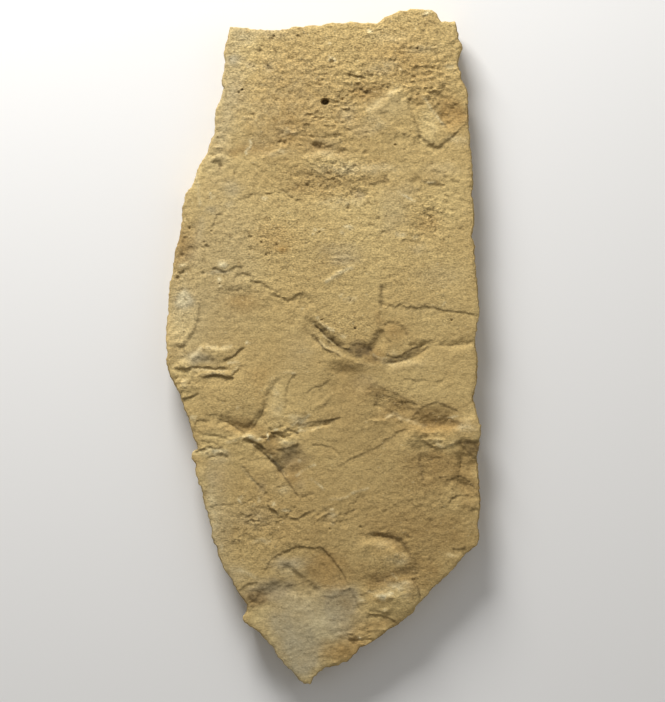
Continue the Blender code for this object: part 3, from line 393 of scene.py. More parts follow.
# Ridges and lips: path, half width, height.
RIDGES = (
    (((-2.6, 10.4), (-1, 8.2), (0.5, 7), (2, 6.1), (4, 5.2), (6, 3.6)), 0.5, 0.2),
    (((-2.6, 6), (-1.2, 5.1), (0, 3.9), (1, 2.8), (2.3, 2), (3.8, 1), (4.6, 0.3)), 0.35, 0.16),
    (((11, 2.6), (13.5, 2.4), (16, 2.3)), 0.4, 0.15),
    (((17, -3.6), (19.6, -4), (22, -3.7)), 0.4, 0.15),
    (((-12.8, -8.6), (-10.6, -9), (-9.6, -8.8)), 0.6, 0.2),
    (((-18.3, -29.3), (-18.8, -30.8), (-19.8, -32.8)), 0.5, 0.5),
    (((-16, -44.4), (-13.4, -44.2), (-10.4, -44.6)), 0.6, 0.25),
    (((-4, -20.6), (-0.6, -19.8), (1.4, -17.6), (3.8, -15.4)), 0.7, 0.25),
    (((-21, -69.6), (-15, -67.4), (-8, -66.4)), 2.4, 0.2),
    (((14, 106), (18, 107), (22, 108), (25.4, 109.2)), 1.1, 0.3),
    (((-48, 26), (-47, 28.4)), 0.5, 0.25),
    (((1, 22), (4, 24), (8, 26.3), (10.6, 27.4)), 0.9, 0.18),
    (((2, -52), (7.5, -51.2), (10.5, -49.6), (14, -48.6)), 0.6, 0.2),
)

# Broad rises and hollows: centre, radii, height.
MOUNDS = (
    # The clearest track: the floor of its hub, the domed pad, the ground under its right toe.
    ((12.8, -1.0), (2.3, 1.6), -0.5), ((14.2, -0.8), (1.0, 1.5), -0.45), ((24, 3.4), (4, 4), 0.35),
    ((26, -6), (10, 1.8), 0.25),
    # The second track: the dome beside it, its curved toe, the hollows of its heel.
    ((-30, -15), (11, 9), 0.62), ((-16, -17), (2.6, 6.4), 0.3), ((-26, -27.2), (4.6, 1.6), -0.3),
    ((-16.2, -31.2), (1.9, 1.8), -0.6), ((-24.4, -32.6), (1.2, 0.7), -0.4),
    # The left and right sides.
    ((47.6, -29), (6, 4.4), 0.6), ((50, -48), (3, 2.2), -0.3), ((47, -54), (5, 3), 0.4),
    ((-47, -12.4), (1.6, 1.5), 0.6), ((-46, -36.4), (2, 1), 0.3), ((-48.4, 27.2), (1.8, 1.2), 0.4),
    ((-34.4, 28), (1.8, 1.2), 0.35), ((-28, 17.4), (6, 2.2), -0.35),
    # The rough brown area and the ground round it.
    ((2, 56), (12, 5.4), -0.55), ((12.4, 51.6), (2, 1.6), -0.2), ((36, 42), (6, 5), -0.5),
    ((46.8, 39.6), (1.6, 0.9), -0.3), ((8.6, 46.8), (1.6, 0.9), -0.3), ((42, 57), (5, 3), 0.3),
    # The narrow end: its two mounds with the hollows beside them, and the grey plate.
    ((21, -74.6), (8.4, 6.4), 0.6), ((17, -80), (6, 2), -0.3), ((30, -76.6), (3.4, 2.4), -0.7),
    ((26, -86), (6, 4.8), 1.4), ((19.2, -85.4), (1.9, 1.5), 0.8), ((22.6, -85), (1.6, 1.0), 0.45),
    ((14.6, -84.6), (1.4, 1), 0.4), ((13, -86.6), (1.6, 1), 0.3), ((20.4, -90), (1.2, 0.8), 0.3),
    ((-5, -78), (4.6, 2), -0.4), ((-16, -82), (4, 1.6), -0.3), ((-21.6, -84.6), (2.2, 1.6), -0.4),
    ((-2, -95), (6, 4.4), 0.35), ((10.4, -100.4), (2, 1.2), -0.3), ((6, -95.6), (3, 1.4), 0.2),
    # The wide end.
    ((-1.8, 67.8), (2, 1.4), -0.6), ((2, 67.2), (2.2, 1.1), -0.3), ((43.4, 80), (4.8, 6), -0.5),
    ((14.4, 87.8), (3.2, 1.6), -0.4), ((36, 105), (9, 6), 0.4), ((-28, 98), (6, 8), -0.4),
    ((8, 81), (4, 4.4), -0.4), ((25, 75.1), (0.8, 0.6), -0.4), ((-21.5, 68.6), (4.4, 3), -0.4),
    ((-36, 61.4), (2.4, 1.4), -0.4), ((6, 66), (2.4, 2), -0.35), ((37.4, 73), (3.6, 2.8), 0.35),
    ((-12, 78), (9, 6), 0.3), ((0, 74), (6, 2.4), 0.3), ((20, 99), (5, 3), 0.3),
)

# Small pits, from the wide end to the narrow one: centre, radius, depth.
PITS = (
    ((34, 107), 0.8, 0.3), ((-16.7, 105.5), 0.4, 0.5), ((-8.7, 105.5), 0.45, 0.45),
    ((-18, 104.3), 0.55, 0.35), ((-21, 102), 0.4, 0.3), ((32.2, 101.2), 0.35, 0.5),
    ((-21.5, 100.5), 0.45, 0.5), ((-10.5, 98.1), 0.6, 0.35), ((27.7, 98), 0.45, 0.35),
    ((28.6, 97.4), 0.4, 0.35), ((24.5, 97.3), 0.5, 0.35), ((39, 97), 0.6, 0.25),
    ((2.8, 96.9), 0.7, 0.4), ((27, 96.3), 0.4, 0.3), ((-24.5, 95.8), 0.7, 0.4),
    ((-23.3, 94.9), 0.4, 0.35), ((-18.3, 94.8), 0.8, 0.4), ((25.5, 94.8), 0.6, 0.4),
    ((3, 94.4), 0.6, 0.3), ((-3, 94), 0.6, 0.25), ((36, 93), 0.8, 0.3), ((31, 91.2), 0.6, 0.4),
    ((-14, 90.3), 0.35, 0.3), ((-15, 89.8), 0.55, 0.4), ((-1.2, 88.8), 0.5, 0.4),
    ((41, 88), 0.7, 0.3), ((-27.5, 87.4), 0.4, 0.7), ((37, 87), 0.9, 0.3),
    ((-28.7, 86.4), 0.35, 0.4), ((32.2, 85.2), 0.7, 0.4), ((5.2, 84.8), 0.6, 0.35),
    ((-7.6, 84.2), 0.5, 0.3), ((6.6, 84), 0.5, 0.4), ((-12, 84), 0.5, 0.2),
    ((29.3, 83.8), 0.5, 0.4), ((32.7, 82.2), 0.8, 0.35), ((-14.7, 72), 0.9, 0.35),
    ((24.2, 68.6), 0.35, 0.4), ((14, 65.6), 0.8, 0.3), ((-37, 62.5), 0.7, 0.3),
    ((36.6, 61.9), 0.35, 0.4), ((-35, 61.4), 0.6, 0.5), ((1.4, 58.9), 0.4, 0.35),
    ((-30, 58.6), 0.6, 0.35), ((21.2, 57.4), 0.8, 0.3), ((3.2, 57), 0.6, 0.3),
    ((-5.5, 55), 0.5, 0.3), ((-0.8, 54.6), 0.5, 0.25), ((5.4, 54.6), 0.5, 0.2),
    ((50, 54.3), 0.6, 0.3), ((46, 51.5), 0.6, 0.2), ((41.6, 51.1), 0.6, 0.25),
    ((15.4, 48.9), 0.5, 0.35), ((14, 47.9), 0.4, 0.3), ((8.6, 47), 0.8, 0.4),
    ((34.6, 45), 0.5, 0.3), ((21.4, 44.4), 0.4, 0.3), ((-47.4, 44), 0.5, 0.4),
    ((36.2, 43.6), 0.5, 0.35), ((19, 43.2), 0.5, 0.35), ((11.7, 43.2), 0.8, 0.2),
    ((37, 41.6), 0.5, 0.35), ((-45.5, 40.2), 0.5, 0.4), ((46.8, 39.5), 0.8, 0.25),
    ((-38, 39.2), 0.5, 0.3), ((-1.7, 39.1), 0.35, 0.4), ((38.4, 39), 0.5, 0.35),
    ((20.1, 38.7), 0.35, 0.4), ((-24.8, 37.3), 0.5, 0.4), ((-47.3, 36.9), 0.6, 0.35),
    ((-40.8, 35.5), 0.5, 0.3), ((-21.1, 35.3), 0.4, 0.35), ((-16.2, 34.5), 0.45, 0.45),
    ((-39.8, 34.3), 0.5, 0.35), ((-22.3, 33.5), 0.4, 0.35), ((-24.6, 33.2), 0.7, 0.3),
    ((-18.4, 31.6), 0.45, 0.5), ((-19.4, 31.2), 0.5, 0.45), ((-48.3, 31), 0.7, 0.4),
    ((7.4, 25.6), 0.35, 0.3), ((-41, 24.8), 0.6, 0.35), ((-49.5, 23.4), 0.8, 0.4),
    ((-35.3, 21.3), 0.4, 0.35), ((9.4, 15.7), 0.35, 0.6), ((43.4, 9), 0.35, 0.7),
    ((-0.5, 9), 0.35, 0.5), ((10.8, 6.1), 0.4, 0.8), ((-1.2, -5.8), 0.35, 0.3),
    ((-22, -59), 0.4, 0.3), ((-24, -59.6), 0.4, 0.3), ((12.7, -61.2), 0.35, 0.45),
    ((2.1, -62), 0.3, 0.35),
)

# A pit's rim, floor and darkest painted shade as shares of its radius, and how dark the painted
# shade of a pit 1 mm deep is.
PIT_RIM = 1.5
PIT_FLOOR = 0.4
PIT_MIDDLE = 0.5
PIT_DARKNESS = 1.3

# The round hole in the wide end, with half the widths of its wall and of its shade's edge, and
# the width of the smoother stone round it.
HOLE_CENTRE = (0.55, 83.2)
HOLE_RADIUS = 1.02
HOLE_STRETCH = (1.22, 1.0)
HOLE_DEPTH = 2.4
HOLE_WALL = 0.35
HOLE_SHADE = 0.3
HOLE_SURROUND = 1.0

# Where the surface is rougher or smoother than the rest: centre, radii, height of the lumps.
ROUGH_PATCHES = (
    ((22, 104), (10, 4), -0.12), ((36, 98), (16, 16), 0.16), ((0, 92), (42, 26), 0.18),
    ((14, 88), (9, 6), 0.24), ((35, 88), (12, 5), 0.16), ((22, 82), (8, 5), -0.2),
    ((8, 81), (4, 5), 0.14), ((43, 80), (6, 7), 0.14), ((-2, 76), (10, 7), 0.14),
    ((8, 72), (12, 8), 0.18), ((-12, 71), (6, 4), 0.22), ((-38, 66), (6, 10), 0.3),
    ((2, 57), (14, 7), 0.26), ((42, 52), (12, 12), 0.12), ((36, 43), (7, 8), 0.18),
    ((-24, 42), (18, 18), 0.06), ((8, 34), (16, 14), 0.06), ((-47, 30), (3, 22), 0.12),
    ((-14, 20), (12, 6), 0.1), ((-2, -10), (14, 7), -0.08), ((-47, -12), (5, 6), 0.4),
    ((-30, -15), (12, 9), -0.06), ((24, -18), (8, 4), 0.1), ((38, -23), (7, 2.6), 0.1),
    ((24, -26), (10, 3), 0.1), ((-15, -30), (5, 4), 0.4), ((40, -31), (8, 4), 0.15),
    ((-36, -36.4), (7, 2.4), 0.25), ((-28, -44), (10, 6), -0.06), ((40, -50), (12, 14), 0.12),
    ((2, -58), (5, 4), 0.25), ((-22, -60), (16, 9), 0.22), ((22, -60), (14, 8), 0.1),
    ((31, -75), (4, 5), 0.18), ((20, -85), (6, 4), 0.22), ((-24, -87), (3, 4), 0.4),
    ((16, -99), (12, 5), 0.3), ((4, -104), (7, 3), 0.2),
)
ROUGH_EVERYWHERE = 0.14
LUMP_STRETCH = (0.62, 1.0)

# Where the grain shows more or less than on plain stone: centre, radii, amount.
GRAIN_SPOTS = (
    ((4, 104), (60, 34), 0.55), ((22, 82), (8, 5), -0.35), ((4, 57), (14, 7), 0.6),
    ((36, 43), (7, 8), 0.3), ((-15, 37), (8, 6), 0.4), ((-10, 34), (34, 24), 0.35),
    ((36, 34), (20, 26), 0.25), ((-48, 20), (5, 30), 0.3), ((7, 7), (9, 5), 0.35),
    ((-30, -15), (11, 9), 0.2), ((24, -18), (8, 4), 0.4), ((36, -45), (16, 16), 0.15),
    ((-22, -62), (18, 12), 0.3), ((30, -76), (20, 14), 0.15), ((-6, -95), (14, 12), -0.1),
)
GRAIN_EVERYWHERE = 0.45
SIDE_GRAIN = 0.8

# The strip along the left side that breaks away downwards: its inner limit, its fall, the width
# over which it falls, its number of ledges with how much of each is flat, and how far it goes.
LEFT_STRIP = (
    (-44, 62), (-42.5, 54), (-41.4, 46), (-40.6, 39), (-41.4, 30), (-41.8, 22), (-42.4, 14),
    (-43.4, 7), (-46, 2.6), (-50, 0.2), (-54.5, -2),
)
LEFT_STRIP_FALL = 2.6
LEFT_STRIP_WIDTH = 9.0
LEFT_STRIP_LEDGES = 4.0
LEFT_STRIP_FLAT = 0.55
LEFT_STRIP_REACH = 14.0

# The broken sides. Ledges go from the rim out to the widest place: share of the rim's width and
# of its height. Below the widest place come layers, each with a low upright edge at its top.
WIDEST_HEIGHT = 8.0
RIM_LEDGES = ((0.95, 0.8), (0.55, 0.72), (0.5, 0.45), (0.12, 0.36), (0.08, 0.1))
LAYERS = (1.7, 1.2, 2.0, 1.4)
UPRIGHT_EDGE = 0.25
# How far below the widest place the layers are wholly broken, and how far in the back starts.
FULLY_BROKEN = 2.1
UNDERCUT = 1.8
# The least height of a side above the flakes of the back, and the walk from one point of the
# edge to the next in the sides' noise.
BACK_EDGE = 0.3
SIDE_WALK = 0.5

# Flakes off the back: their corners, and how thick they were.
BACK_FLAKES = (
    (((-60, 52), (-31, 60), (-18, 88), (-22, 120), (-60, 120)), 1.1),
    (((60, -20), (34, -28), (26, -52), (36, -78), (60, -90)), 0.9),
    (((-30, -120), (-22, -92), (4, -86), (22, -104), (20, -125)), 1.3),
)

# The slow swell of the whole face.
SWELL_HEIGHT = 0.45
SWELL_PITCH = 55.0

# The widest slope of a step that is still broken, the narrowest of one that is wholly worn, and
# the shares of a line and at most of a step that fade out at each end.
BROKEN_WALL = 1.2
WORN_WALL = 3.0
LINE_TAPER = 0.09
LONGEST_TAPER = 0.32

# Waves that make lines and patches wander: pitch, shift, step of the seed. The seeds are those of
# the relief and of the stains.
WANDER_WAVES = ((7.0, 0.35, 0), (2.1, 0.32, 5), (0.9, 0.24, 9))
RELIEF_WANDER = 11
STAIN_WANDER = 23

# Stains wander with a longer wave as well. They have rather flat middles, and fade out between
# two heights on the sides. Dirt and painted shade in a step have at least this half width.
STAIN_PITCH = 4.5
STAIN_SHIFT = 1.6
STAIN_EDGE = 1.3
STAIN_HEIGHTS = (6.0, 9.0)
THINNEST_DIRT_AND_SHADE = 0.27

# The mesh is fine this near a line, and this near a pit as a share of its radius. Its grid is
# uneven by a share of the pitch, and keeps clear of the rings that it fills.
LINE_FINE_REACH = 0.75
PIT_FINE_REACH = 1.6
GRID_UNEVEN = 0.12
FACE_MARGIN = 0.25
BACK_MARGIN = 0.6
# How near the outline the rim's fall starts, and how near it is whole.
RIM_FALL_START = 1.6
RIM_FALL_WHOLE = 0.2
# Points each way that are averaged before the way out of the edge is found.
OUTWARD_SPREAD = 4
# A reach longer than the slab.
WHOLE_SLAB = 1000.0

# Stains, with painted shade among the brown and grey ones and painted light among the pale and
# straw ones, from the wide end to the narrow one: centre, radii, strength.
BROWN_STAIN_AND_SHADE_SPOTS = (
    ((36, 111), (4, 3), 0.4), ((34, 99), (12, 10), 0.35), ((14.4, 87.2), (3, 1.2), 0.7),
    ((15.4, 86.4), (6.4, 3.6), 0.9), ((32, 83.5), (2.4, 3), 0.5), ((-16, 83), (17, 16), 0.55),
    ((41.4, 83), (4.4, 5), 0.4), ((14, 80), (34, 20), 0.2), ((44.4, 78.6), (5.2, 5.6), 1.0),
    ((-14, 70), (12, 6), 0.3), ((-1, 68), (3.2, 1.6), 0.8), ((-24.6, 67), (7, 2.4), 0.8),
    ((6, 66), (2.6, 2.4), 0.5), ((-31, 66), (3.4, 1.2), 0.4), ((-16, 60), (9, 5), 0.12),
    ((37.6, 57.4), (4.6, 1.8), 0.45), ((-24, 57), (8, 4), 0.15), ((18, 56.4), (5, 1.8), 0.45),
    ((0, 55.4), (12, 5), 0.62), ((-9.6, 54), (3, 3), 0.35), ((11.4, 51.4), (2.6, 1.2), 0.4),
    ((-10, 46), (12, 6), 0.15), ((36, 42), (4, 4), 0.6), ((-16, 36), (7, 5), 0.35),
    ((-46, 36), (4, 6), 0.45), ((-50, 32), (3, 12), 0.6), ((-46, 32), (3, 12), 0.3),
    ((2, 27), (14, 10), 0.15), ((2, 26), (18, 7), 0.2), ((38, 20), (16, 8), 0.12),
    ((-28, 17), (7, 3), 0.3), ((-27.4, 14.6), (5, 3), 0.7), ((-18, 13), (12, 5), 0.2),
    ((18.8, 9.6), (1.6, 2.6), 0.6), ((24, 5.2), (4.2, 3.2), 0.85), ((51, 0), (5, 12), 0.3),
    ((44, 0), (10, 14), 0.2), ((-5, 0), (40, 10), 0.15), ((12.8, -1), (2.8, 2.0), 0.9),
    ((33, -2), (3, 1.4), 0.3), ((17.6, -3), (2.4, 3.2), 0.4), ((16, -3.4), (3.4, 2.4), 0.7),
    ((18.6, -3.8), (2.6, 2.6), 0.6), ((8.6, -7), (6.5, 2.6), 0.5), ((8, -13), (9, 6), 0.5),
    ((19, -15.6), (4, 2), 0.45), ((26.4, -20), (5.4, 3.4), 0.75), ((47.6, -20), (5, 3), 0.35),
    ((4, -22), (10, 6), 0.3), ((38.2, -23.4), (8.2, 4.2), 1.0), ((26, -23.8), (7, 2.4), 0.4),
    ((41, -25.3), (4.6, 0.9), 0.5), ((43, -26), (7, 1.6), 0.5), ((-28, -26.2), (5, 2.4), 0.65),
    ((41, -27.4), (10, 2.4), 0.5), ((-24, -27.8), (4, 1.6), 0.7), ((16, -29), (15, 18), 0.65),
    ((-21, -31), (3, 3), 0.4), ((-17, -31.2), (3.2, 2.6), 0.8), ((49.8, -33.4), (3.6, 1.8), 0.4),
    ((-18, -33.4), (2.4, 1.4), 0.5), ((49, -33.6), (3.4, 1.8), 0.7), ((50, -34.5), (3.4, 2.4), 0.7),
    ((-18.4, -34.6), (3, 2), 0.5), ((-19, -35.6), (3.4, 1.6), 0.5), ((-8, -37), (3, 4), 0.3),
    ((-12, -37.4), (5, 4), 0.5), ((38, -38), (10, 4), 0.35), ((49, -40), (5, 6), 0.9),
    ((39, -40), (6, 5), 0.4), ((36, -42), (10, 8), 0.35), ((-11, -43), (3, 3.4), 0.5),
    ((-8.6, -43), (3, 3), 0.6), ((38, -46), (12, 9), 0.6), ((49.6, -47), (4, 2.6), 0.6),
    ((-4, -48), (26, 10), 0.25), ((-24, -48), (7, 6), 0.3), ((51, -49), (3, 3), 0.6),
    ((50, -52), (4, 5), 0.5), ((-24, -58), (8, 5), 0.2), ((25, -60), (16, 6), 0.35),
    ((46, -60), (8, 8), 0.25), ((8, -62), (34, 14), 0.5), ((40, -64), (12, 8), 0.3),
    ((-9, -64), (30, 3), 0.15), ((46, -68), (6, 5), 0.35), ((33, -69), (11, 7), 0.3),
    ((1.5, -75), (6.4, 6), 1.0), ((-2, -76), (5, 4), 0.4), ((29, -76.8), (3, 1.6), 0.6),
    ((32, -77), (8, 6), 0.7), ((13.6, -77), (9, 4), 0.35), ((31.6, -77.8), (4.6, 3.2), 1.2),
    ((33, -78), (4, 3), 0.6), ((30, -78), (9, 4), 0.6), ((6, -79), (12, 4), 0.5),
    ((20.4, -80), (5, 2.4), 1.0), ((-20, -84), (8, 3), 0.5), ((30, -84.4), (2.4, 3), 0.5),
    ((-23.4, -86.2), (4, 2.8), 0.9), ((2, -86.6), (7, 2.4), 0.25), ((8, -86.6), (3.4, 4), 0.3),
    ((27, -90.4), (5, 1.6), 0.3), ((22, -93.4), (6, 2), 0.5), ((20, -95), (7, 3), 0.5),
    ((11, -95), (7, 10), 0.35), ((10.4, -100.4), (2.2, 1.2), 0.4), ((8, -104), (9, 3), 0.8),
    ((-6, -107), (4, 5), 0.1),
)
RUST_SPOTS = (
    ((28, 104), (12, 6), 0.2), ((28, 97), (10, 6), 0.25), ((38, 88), (10, 8), 0.12),
    ((-8, 84), (20, 12), 0.12), ((44, 78), (4, 5), 0.3), ((-12, 74), (6, 5), 0.15),
    ((-8, 66), (12, 6), 0.15), ((18, 62), (5, 3), 0.2), ((36, 42), (5, 5), 0.12),
    ((-16, 37), (8, 5), 0.3), ((-14, 33.4), (2.4, 1.2), 0.8), ((24, 6), (3, 2.4), 0.1),
    ((20, -1), (18, 6), 0.15), ((-21, -10), (5, 4), 0.3), ((44, -14), (10, 8), 0.15),
    ((-21, -20), (4, 9), 0.15), ((30, -24), (8, 5), 0.15), ((49, -27), (4, 4), 0.35),
    ((30, -28), (6, 2), 0.3), ((42, -28.6), (8, 3.4), 0.55), ((-29, -29), (4, 2), 0.4),
    ((-35, -46), (3, 4), 0.2), ((22, -69), (6, 5), 0.35), ((1.5, -76), (5, 5), 0.4),
    ((22, -84), (8, 6), 0.15), ((19, -85), (4, 3), 0.3), ((12, -98), (6, 3), 0.35),
    ((6, -103), (8, 4), 0.35),
)
# Grey stone, and painted grey-blue shade in shaded hollows and on shaded slopes.
GREY_BLOOM_AND_SHADE_SPOTS = (
    ((-22, 107), (11, 3), 0.4), ((-30.6, 97.4), (3.4, 1.8), 0.7), ((-24.4, 95.6), (2, 1.2), 0.5),
    ((-18.6, 95), (1.6, 1.4), 0.5), ((-31, 94), (4, 18), 0.35), ((18.6, 93.8), (4, 1.2), 0.3),
    ((-29, 86), (4, 5), 0.3), ((22, 82), (7, 4), 0.25), ((8, 79), (3, 4), 0.4),
    ((-34, 75), (3, 12), 0.4), ((13, 73.4), (4, 2.4), 0.25), ((-21.5, 68.6), (4.6, 3.4), 0.25),
    ((0, 68.4), (5, 3), 0.4), ((-37, 66), (4, 9), 0.2), ((40, 60), (6, 2.4), 0.3),
    ((-31, 53.4), (3.6, 2.6), 0.45), ((29, 53), (3.4, 3), 0.2), ((12.4, 51.4), (2, 1.4), 0.6),
    ((-32, 48), (2, 1.6), 0.3), ((24, 47), (5, 7), 0.25), ((-38, 46.4), (2.4, 1.4), 0.4),
    ((21.6, 40), (3, 3), 0.15), ((-42, 40), (2, 5), 0.3), ((-46, 33), (4, 6), 0.35),
    ((6, 33), (7, 2.4), 0.35), ((32, 33), (3, 2), 0.25), ((-34, 30), (13, 28), 0.3),
    ((7, 29.6), (5, 2), 0.6), ((-36, 24.8), (4, 0.8), 0.5), ((40, 24), (8, 4), 0.2),
    ((-49, 16), (4, 10), 0.3), ((-47.5, 15.5), (2.6, 3), 0.8), ((36, 13), (10, 2), 0.1),
    ((-46, 8), (8, 16), 0.25), ((12, -0.4), (2.6, 1.6), 0.5), ((-8, -2), (6, 8), 0.15),
    ((-42, -4.2), (5, 2.4), 0.7), ((14, -12), (5, 3), 0.3), ((-7.4, -25.6), (3, 1.6), 0.45),
    ((-34, -37.4), (4, 1.4), 0.1), ((-11, -38), (4.6, 4.6), 0.6), ((-36, -38.4), (3.4, 1.8), 0.25),
    ((-37, -44), (6, 5), 0.15), ((-38, -45), (3, 5), 0.2), ((-8, -47), (1.6, 2.4), 0.25),
    ((-21, -48.4), (1.4, 2.6), 0.4), ((2.4, -57.6), (2.4, 2.4), 0.4), ((-24, -58), (7, 4), 0.35),
    ((-36, -62), (5, 18), 0.4), ((-14, -73.6), (5, 2.4), 0.3), ((-9, -73.6), (6, 2.4), 0.6),
    ((-30, -77), (5, 4), 0.4), ((-18, -82), (7, 3), 0.6), ((-21, -84.6), (8, 2.6), 0.7),
    ((6, -86), (6, 6), 0.9), ((8.6, -87), (3.4, 4), 0.5), ((-6, -92), (15, 11), 0.7),
    ((-15, -94), (4, 4), 0.5), ((8, -95), (5, 4), 0.3), ((6, -95.6), (2.6, 2), 0.5),
    ((6, -96), (6, 6), 0.3), ((-8, -104), (8, 8), 0.9), ((-6.4, -107.6), (4, 5), 0.9),
)
# Pale scuffs and flecks, and painted highlights on lit lips, rims and mound tops.
PALE_AND_HIGHLIGHT_SPOTS = (
    ((35.2, 113.5), (1.2, 0.6), 0.8), ((15.7, 107.7), (0.8, 0.7), 1.0), ((22, 105.6), (6, 2), 0.2),
    ((-27.4, 104), (3.6, 3.4), 0.22), ((34, 101.4), (6, 1.6), 0.25), ((20, 95.4), (4.4, 2.2), 0.3),
    ((43, 95.4), (2, 1), 0.4), ((-21, 84), (22, 16), 0.12), ((18, 76.6), (4, 3), 0.25),
    ((36, 76), (2.6, 5), 0.12), ((-12, 72.6), (3, 1.2), 0.2), ((46, 70), (4, 2), 0.3),
    ((-14, 65.6), (4, 1.2), 0.35), ((2.6, 65.2), (7, 1.4), 0.15), ((6, 60.6), (8, 2.2), 0.3),
    ((20, 60), (8, 2), 0.25), ((37, 56.5), (1.6, 0.4), 0.5), ((-20, 50.5), (1, 0.6), 0.6),
    ((6, 49), (6, 1.4), 0.35), ((8.6, 40.4), (1, 0.7), 0.6), ((-2.8, 39.8), (0.7, 0.5), 0.9),
    ((-0.8, 39.6), (0.7, 0.4), 0.9), ((6.8, 38.3), (0.8, 0.8), 0.5),
    ((-3.4, 38.2), (0.4, 0.4), 0.8), ((25, 37.8), (0.8, 0.7), 0.4), ((27, 37.6), (1, 0.5), 0.8),
    ((31.8, 36.8), (1.2, 0.4), 0.6), ((-34.6, 28), (1.4, 1.2), 0.9),
    ((-48.4, 27.4), (1.4, 0.9), 0.6), ((-35.4, 22.4), (0.7, 0.7), 0.8),
    ((-35.2, 20.4), (0.6, 0.5), 0.7), ((-48, 16), (1.6, 2.4), 0.8), ((9, 15.9), (2, 0.7), 0.4),
    ((-7.8, 12.2), (0.6, 0.4), 0.8), ((6, 3.6), (1.1, 0.7), 0.6), ((-7, -1.8), (3, 0.6), 0.1),
    ((24, -2), (2.2, 0.8), 0.15), ((26, -6), (12, 2), 0.15), ((-12.4, -8.8), (2.4, 0.6), 0.15),
    ((-10.2, -8.9), (0.7, 0.4), 0.6), ((-47, -12.6), (1.4, 1.2), 0.5), ((-16, -18), (2.4, 6), 0.3),
    ((-29, -20.6), (0.6, 0.4), 0.6), ((-10, -24.2), (2, 1.2), 0.25), ((48.4, -27), (3, 3), 0.2),
    ((-15.7, -28), (0.5, 0.5), 0.7), ((48.6, -28.4), (4, 1.6), 0.25),
    ((-7.4, -28.9), (1.1, 0.4), 0.4), ((-18.6, -30.4), (0.4, 1.2), 0.8),
    ((-25, -30.5), (1.9, 0.7), 0.75), ((-22.2, -31.6), (1.4, 0.6), 0.6),
    ((-12, -32.2), (2.6, 0.7), 0.5), ((39.4, -32.6), (2.4, 0.8), 0.2),
    ((-12, -34.6), (2.6, 1.2), 0.2), ((-37, -35.9), (4.4, 0.9), 0.6),
    ((-43.4, -36.6), (2.4, 1.6), 0.35), ((-18, -37), (0.4, 0.4), 0.8),
    ((-8.5, -38.5), (0.6, 0.5), 0.6), ((-14, -48.4), (3, 2), 0.25),
    ((-27.4, -51.8), (0.6, 0.6), 0.5), ((-22, -52.3), (0.5, 0.8), 0.7),
    ((-28.4, -53), (0.7, 0.7), 0.7), ((-24, -53.4), (0.6, 0.4), 0.6),
    ((-16.4, -53.8), (0.8, 0.9), 0.8), ((2.6, -54.8), (0.6, 0.3), 0.6),
    ((-13, -55.7), (1.4, 0.5), 0.6), ((2.4, -57), (1, 1), 0.4), ((-22, -57.6), (0.9, 0.8), 0.4),
    ((-38, -58), (2.4, 10), 0.3), ((3.2, -60.6), (0.8, 0.6), 0.5), ((-21, -66.4), (3, 0.7), 0.35),
    ((21, -67.2), (4, 1.2), 0.12), ((-34.8, -68), (0.8, 1.2), 0.8), ((44, -70.9), (3, 0.7), 0.2),
    ((25, -72), (3, 2.2), 0.4), ((-11, -77), (5, 2), 0.2), ((24.4, -80.8), (2.6, 0.8), 0.2),
    ((25.6, -81.2), (4.6, 1.3), 0.35), ((16.8, -83), (1.2, 0.7), 0.5),
    ((28, -83.4), (3.4, 2.4), 0.1), ((24.6, -83.6), (5, 1.8), 0.3),
    ((22.8, -84.2), (1.7, 0.7), 0.7), ((19.4, -84.4), (1.5, 1.0), 1.0),
    ((13, -86.6), (1.2, 0.6), 0.5), ((-9, -87.4), (5, 2.6), 0.25), ((20.2, -90), (0.8, 0.4), 0.6),
    ((-2, -93.4), (4.4, 2.6), 0.3), ((2, -97.6), (5, 1.6), 0.3), ((12, -99.6), (0.5, 0.4), 0.9),
)
# Straw-coloured stone, and painted light on the lit slopes of mounds and ledges.
STRAW_AND_LIGHT_SPOTS = (
    ((22, 107), (12, 3), 0.4), ((35, 102), (9, 4), 0.5), ((25, 85.6), (4, 3), 0.6),
    ((22, 82), (7, 4.4), 0.5), ((-24, 78), (12, 24), 0.15), ((35.6, 74.4), (3.4, 6), 0.8),
    ((0, 64), (14, 3), 0.3), ((3, 63.4), (8, 2.4), 0.5), ((-40, 62), (4, 5), 0.5),
    ((-30, 60), (12, 5), 0.35), ((-44, 55), (3, 6), 0.5), ((-32, 50), (8, 5), 0.3),
    ((43, 49), (8, 9), 0.6), ((-15, 47), (30, 6), 0.2), ((10, 47), (22, 3), 0.3),
    ((-46.4, 44), (2.4, 6), 0.4), ((-28, 30), (12, 9), 0.25), ((46, 24), (5, 10), 0.4),
    ((-49, 24), (3, 6), 0.5), ((-16, 8), (12, 7), 0.3), ((-48, 8), (5, 7), 0.9),
    ((-48, -8), (5, 4), 0.8), ((-47, -16), (5, 3), 0.5), ((-16, -16), (4, 7), 0.5),
    ((48.4, -26), (4, 4.4), 0.5), ((-32, -30.6), (7, 2.2), 0.5), ((-39, -31.4), (3, 1.6), 0.6),
    ((-12, -32), (4, 1.6), 0.7), ((-37, -34.2), (6, 1.4), 0.6), ((-42, -36.6), (3.6, 1.4), 0.9),
    ((-42, -46), (1.4, 5), 0.7), ((20, -69.4), (6, 4), 0.5), ((25, -73), (3.6, 3), 1.0),
    ((25, -86), (6, 5), 0.8), ((-21, -90), (3, 2.4), 0.7), ((-22.4, -91), (3.4, 3.4), 0.7),
    ((-2, -93.6), (5, 3), 0.6), ((-24, -94), (3, 2), 0.6), ((0, -97), (6.4, 3.4), 0.9),
    ((-18, -101), (2, 8), 0.6),
)
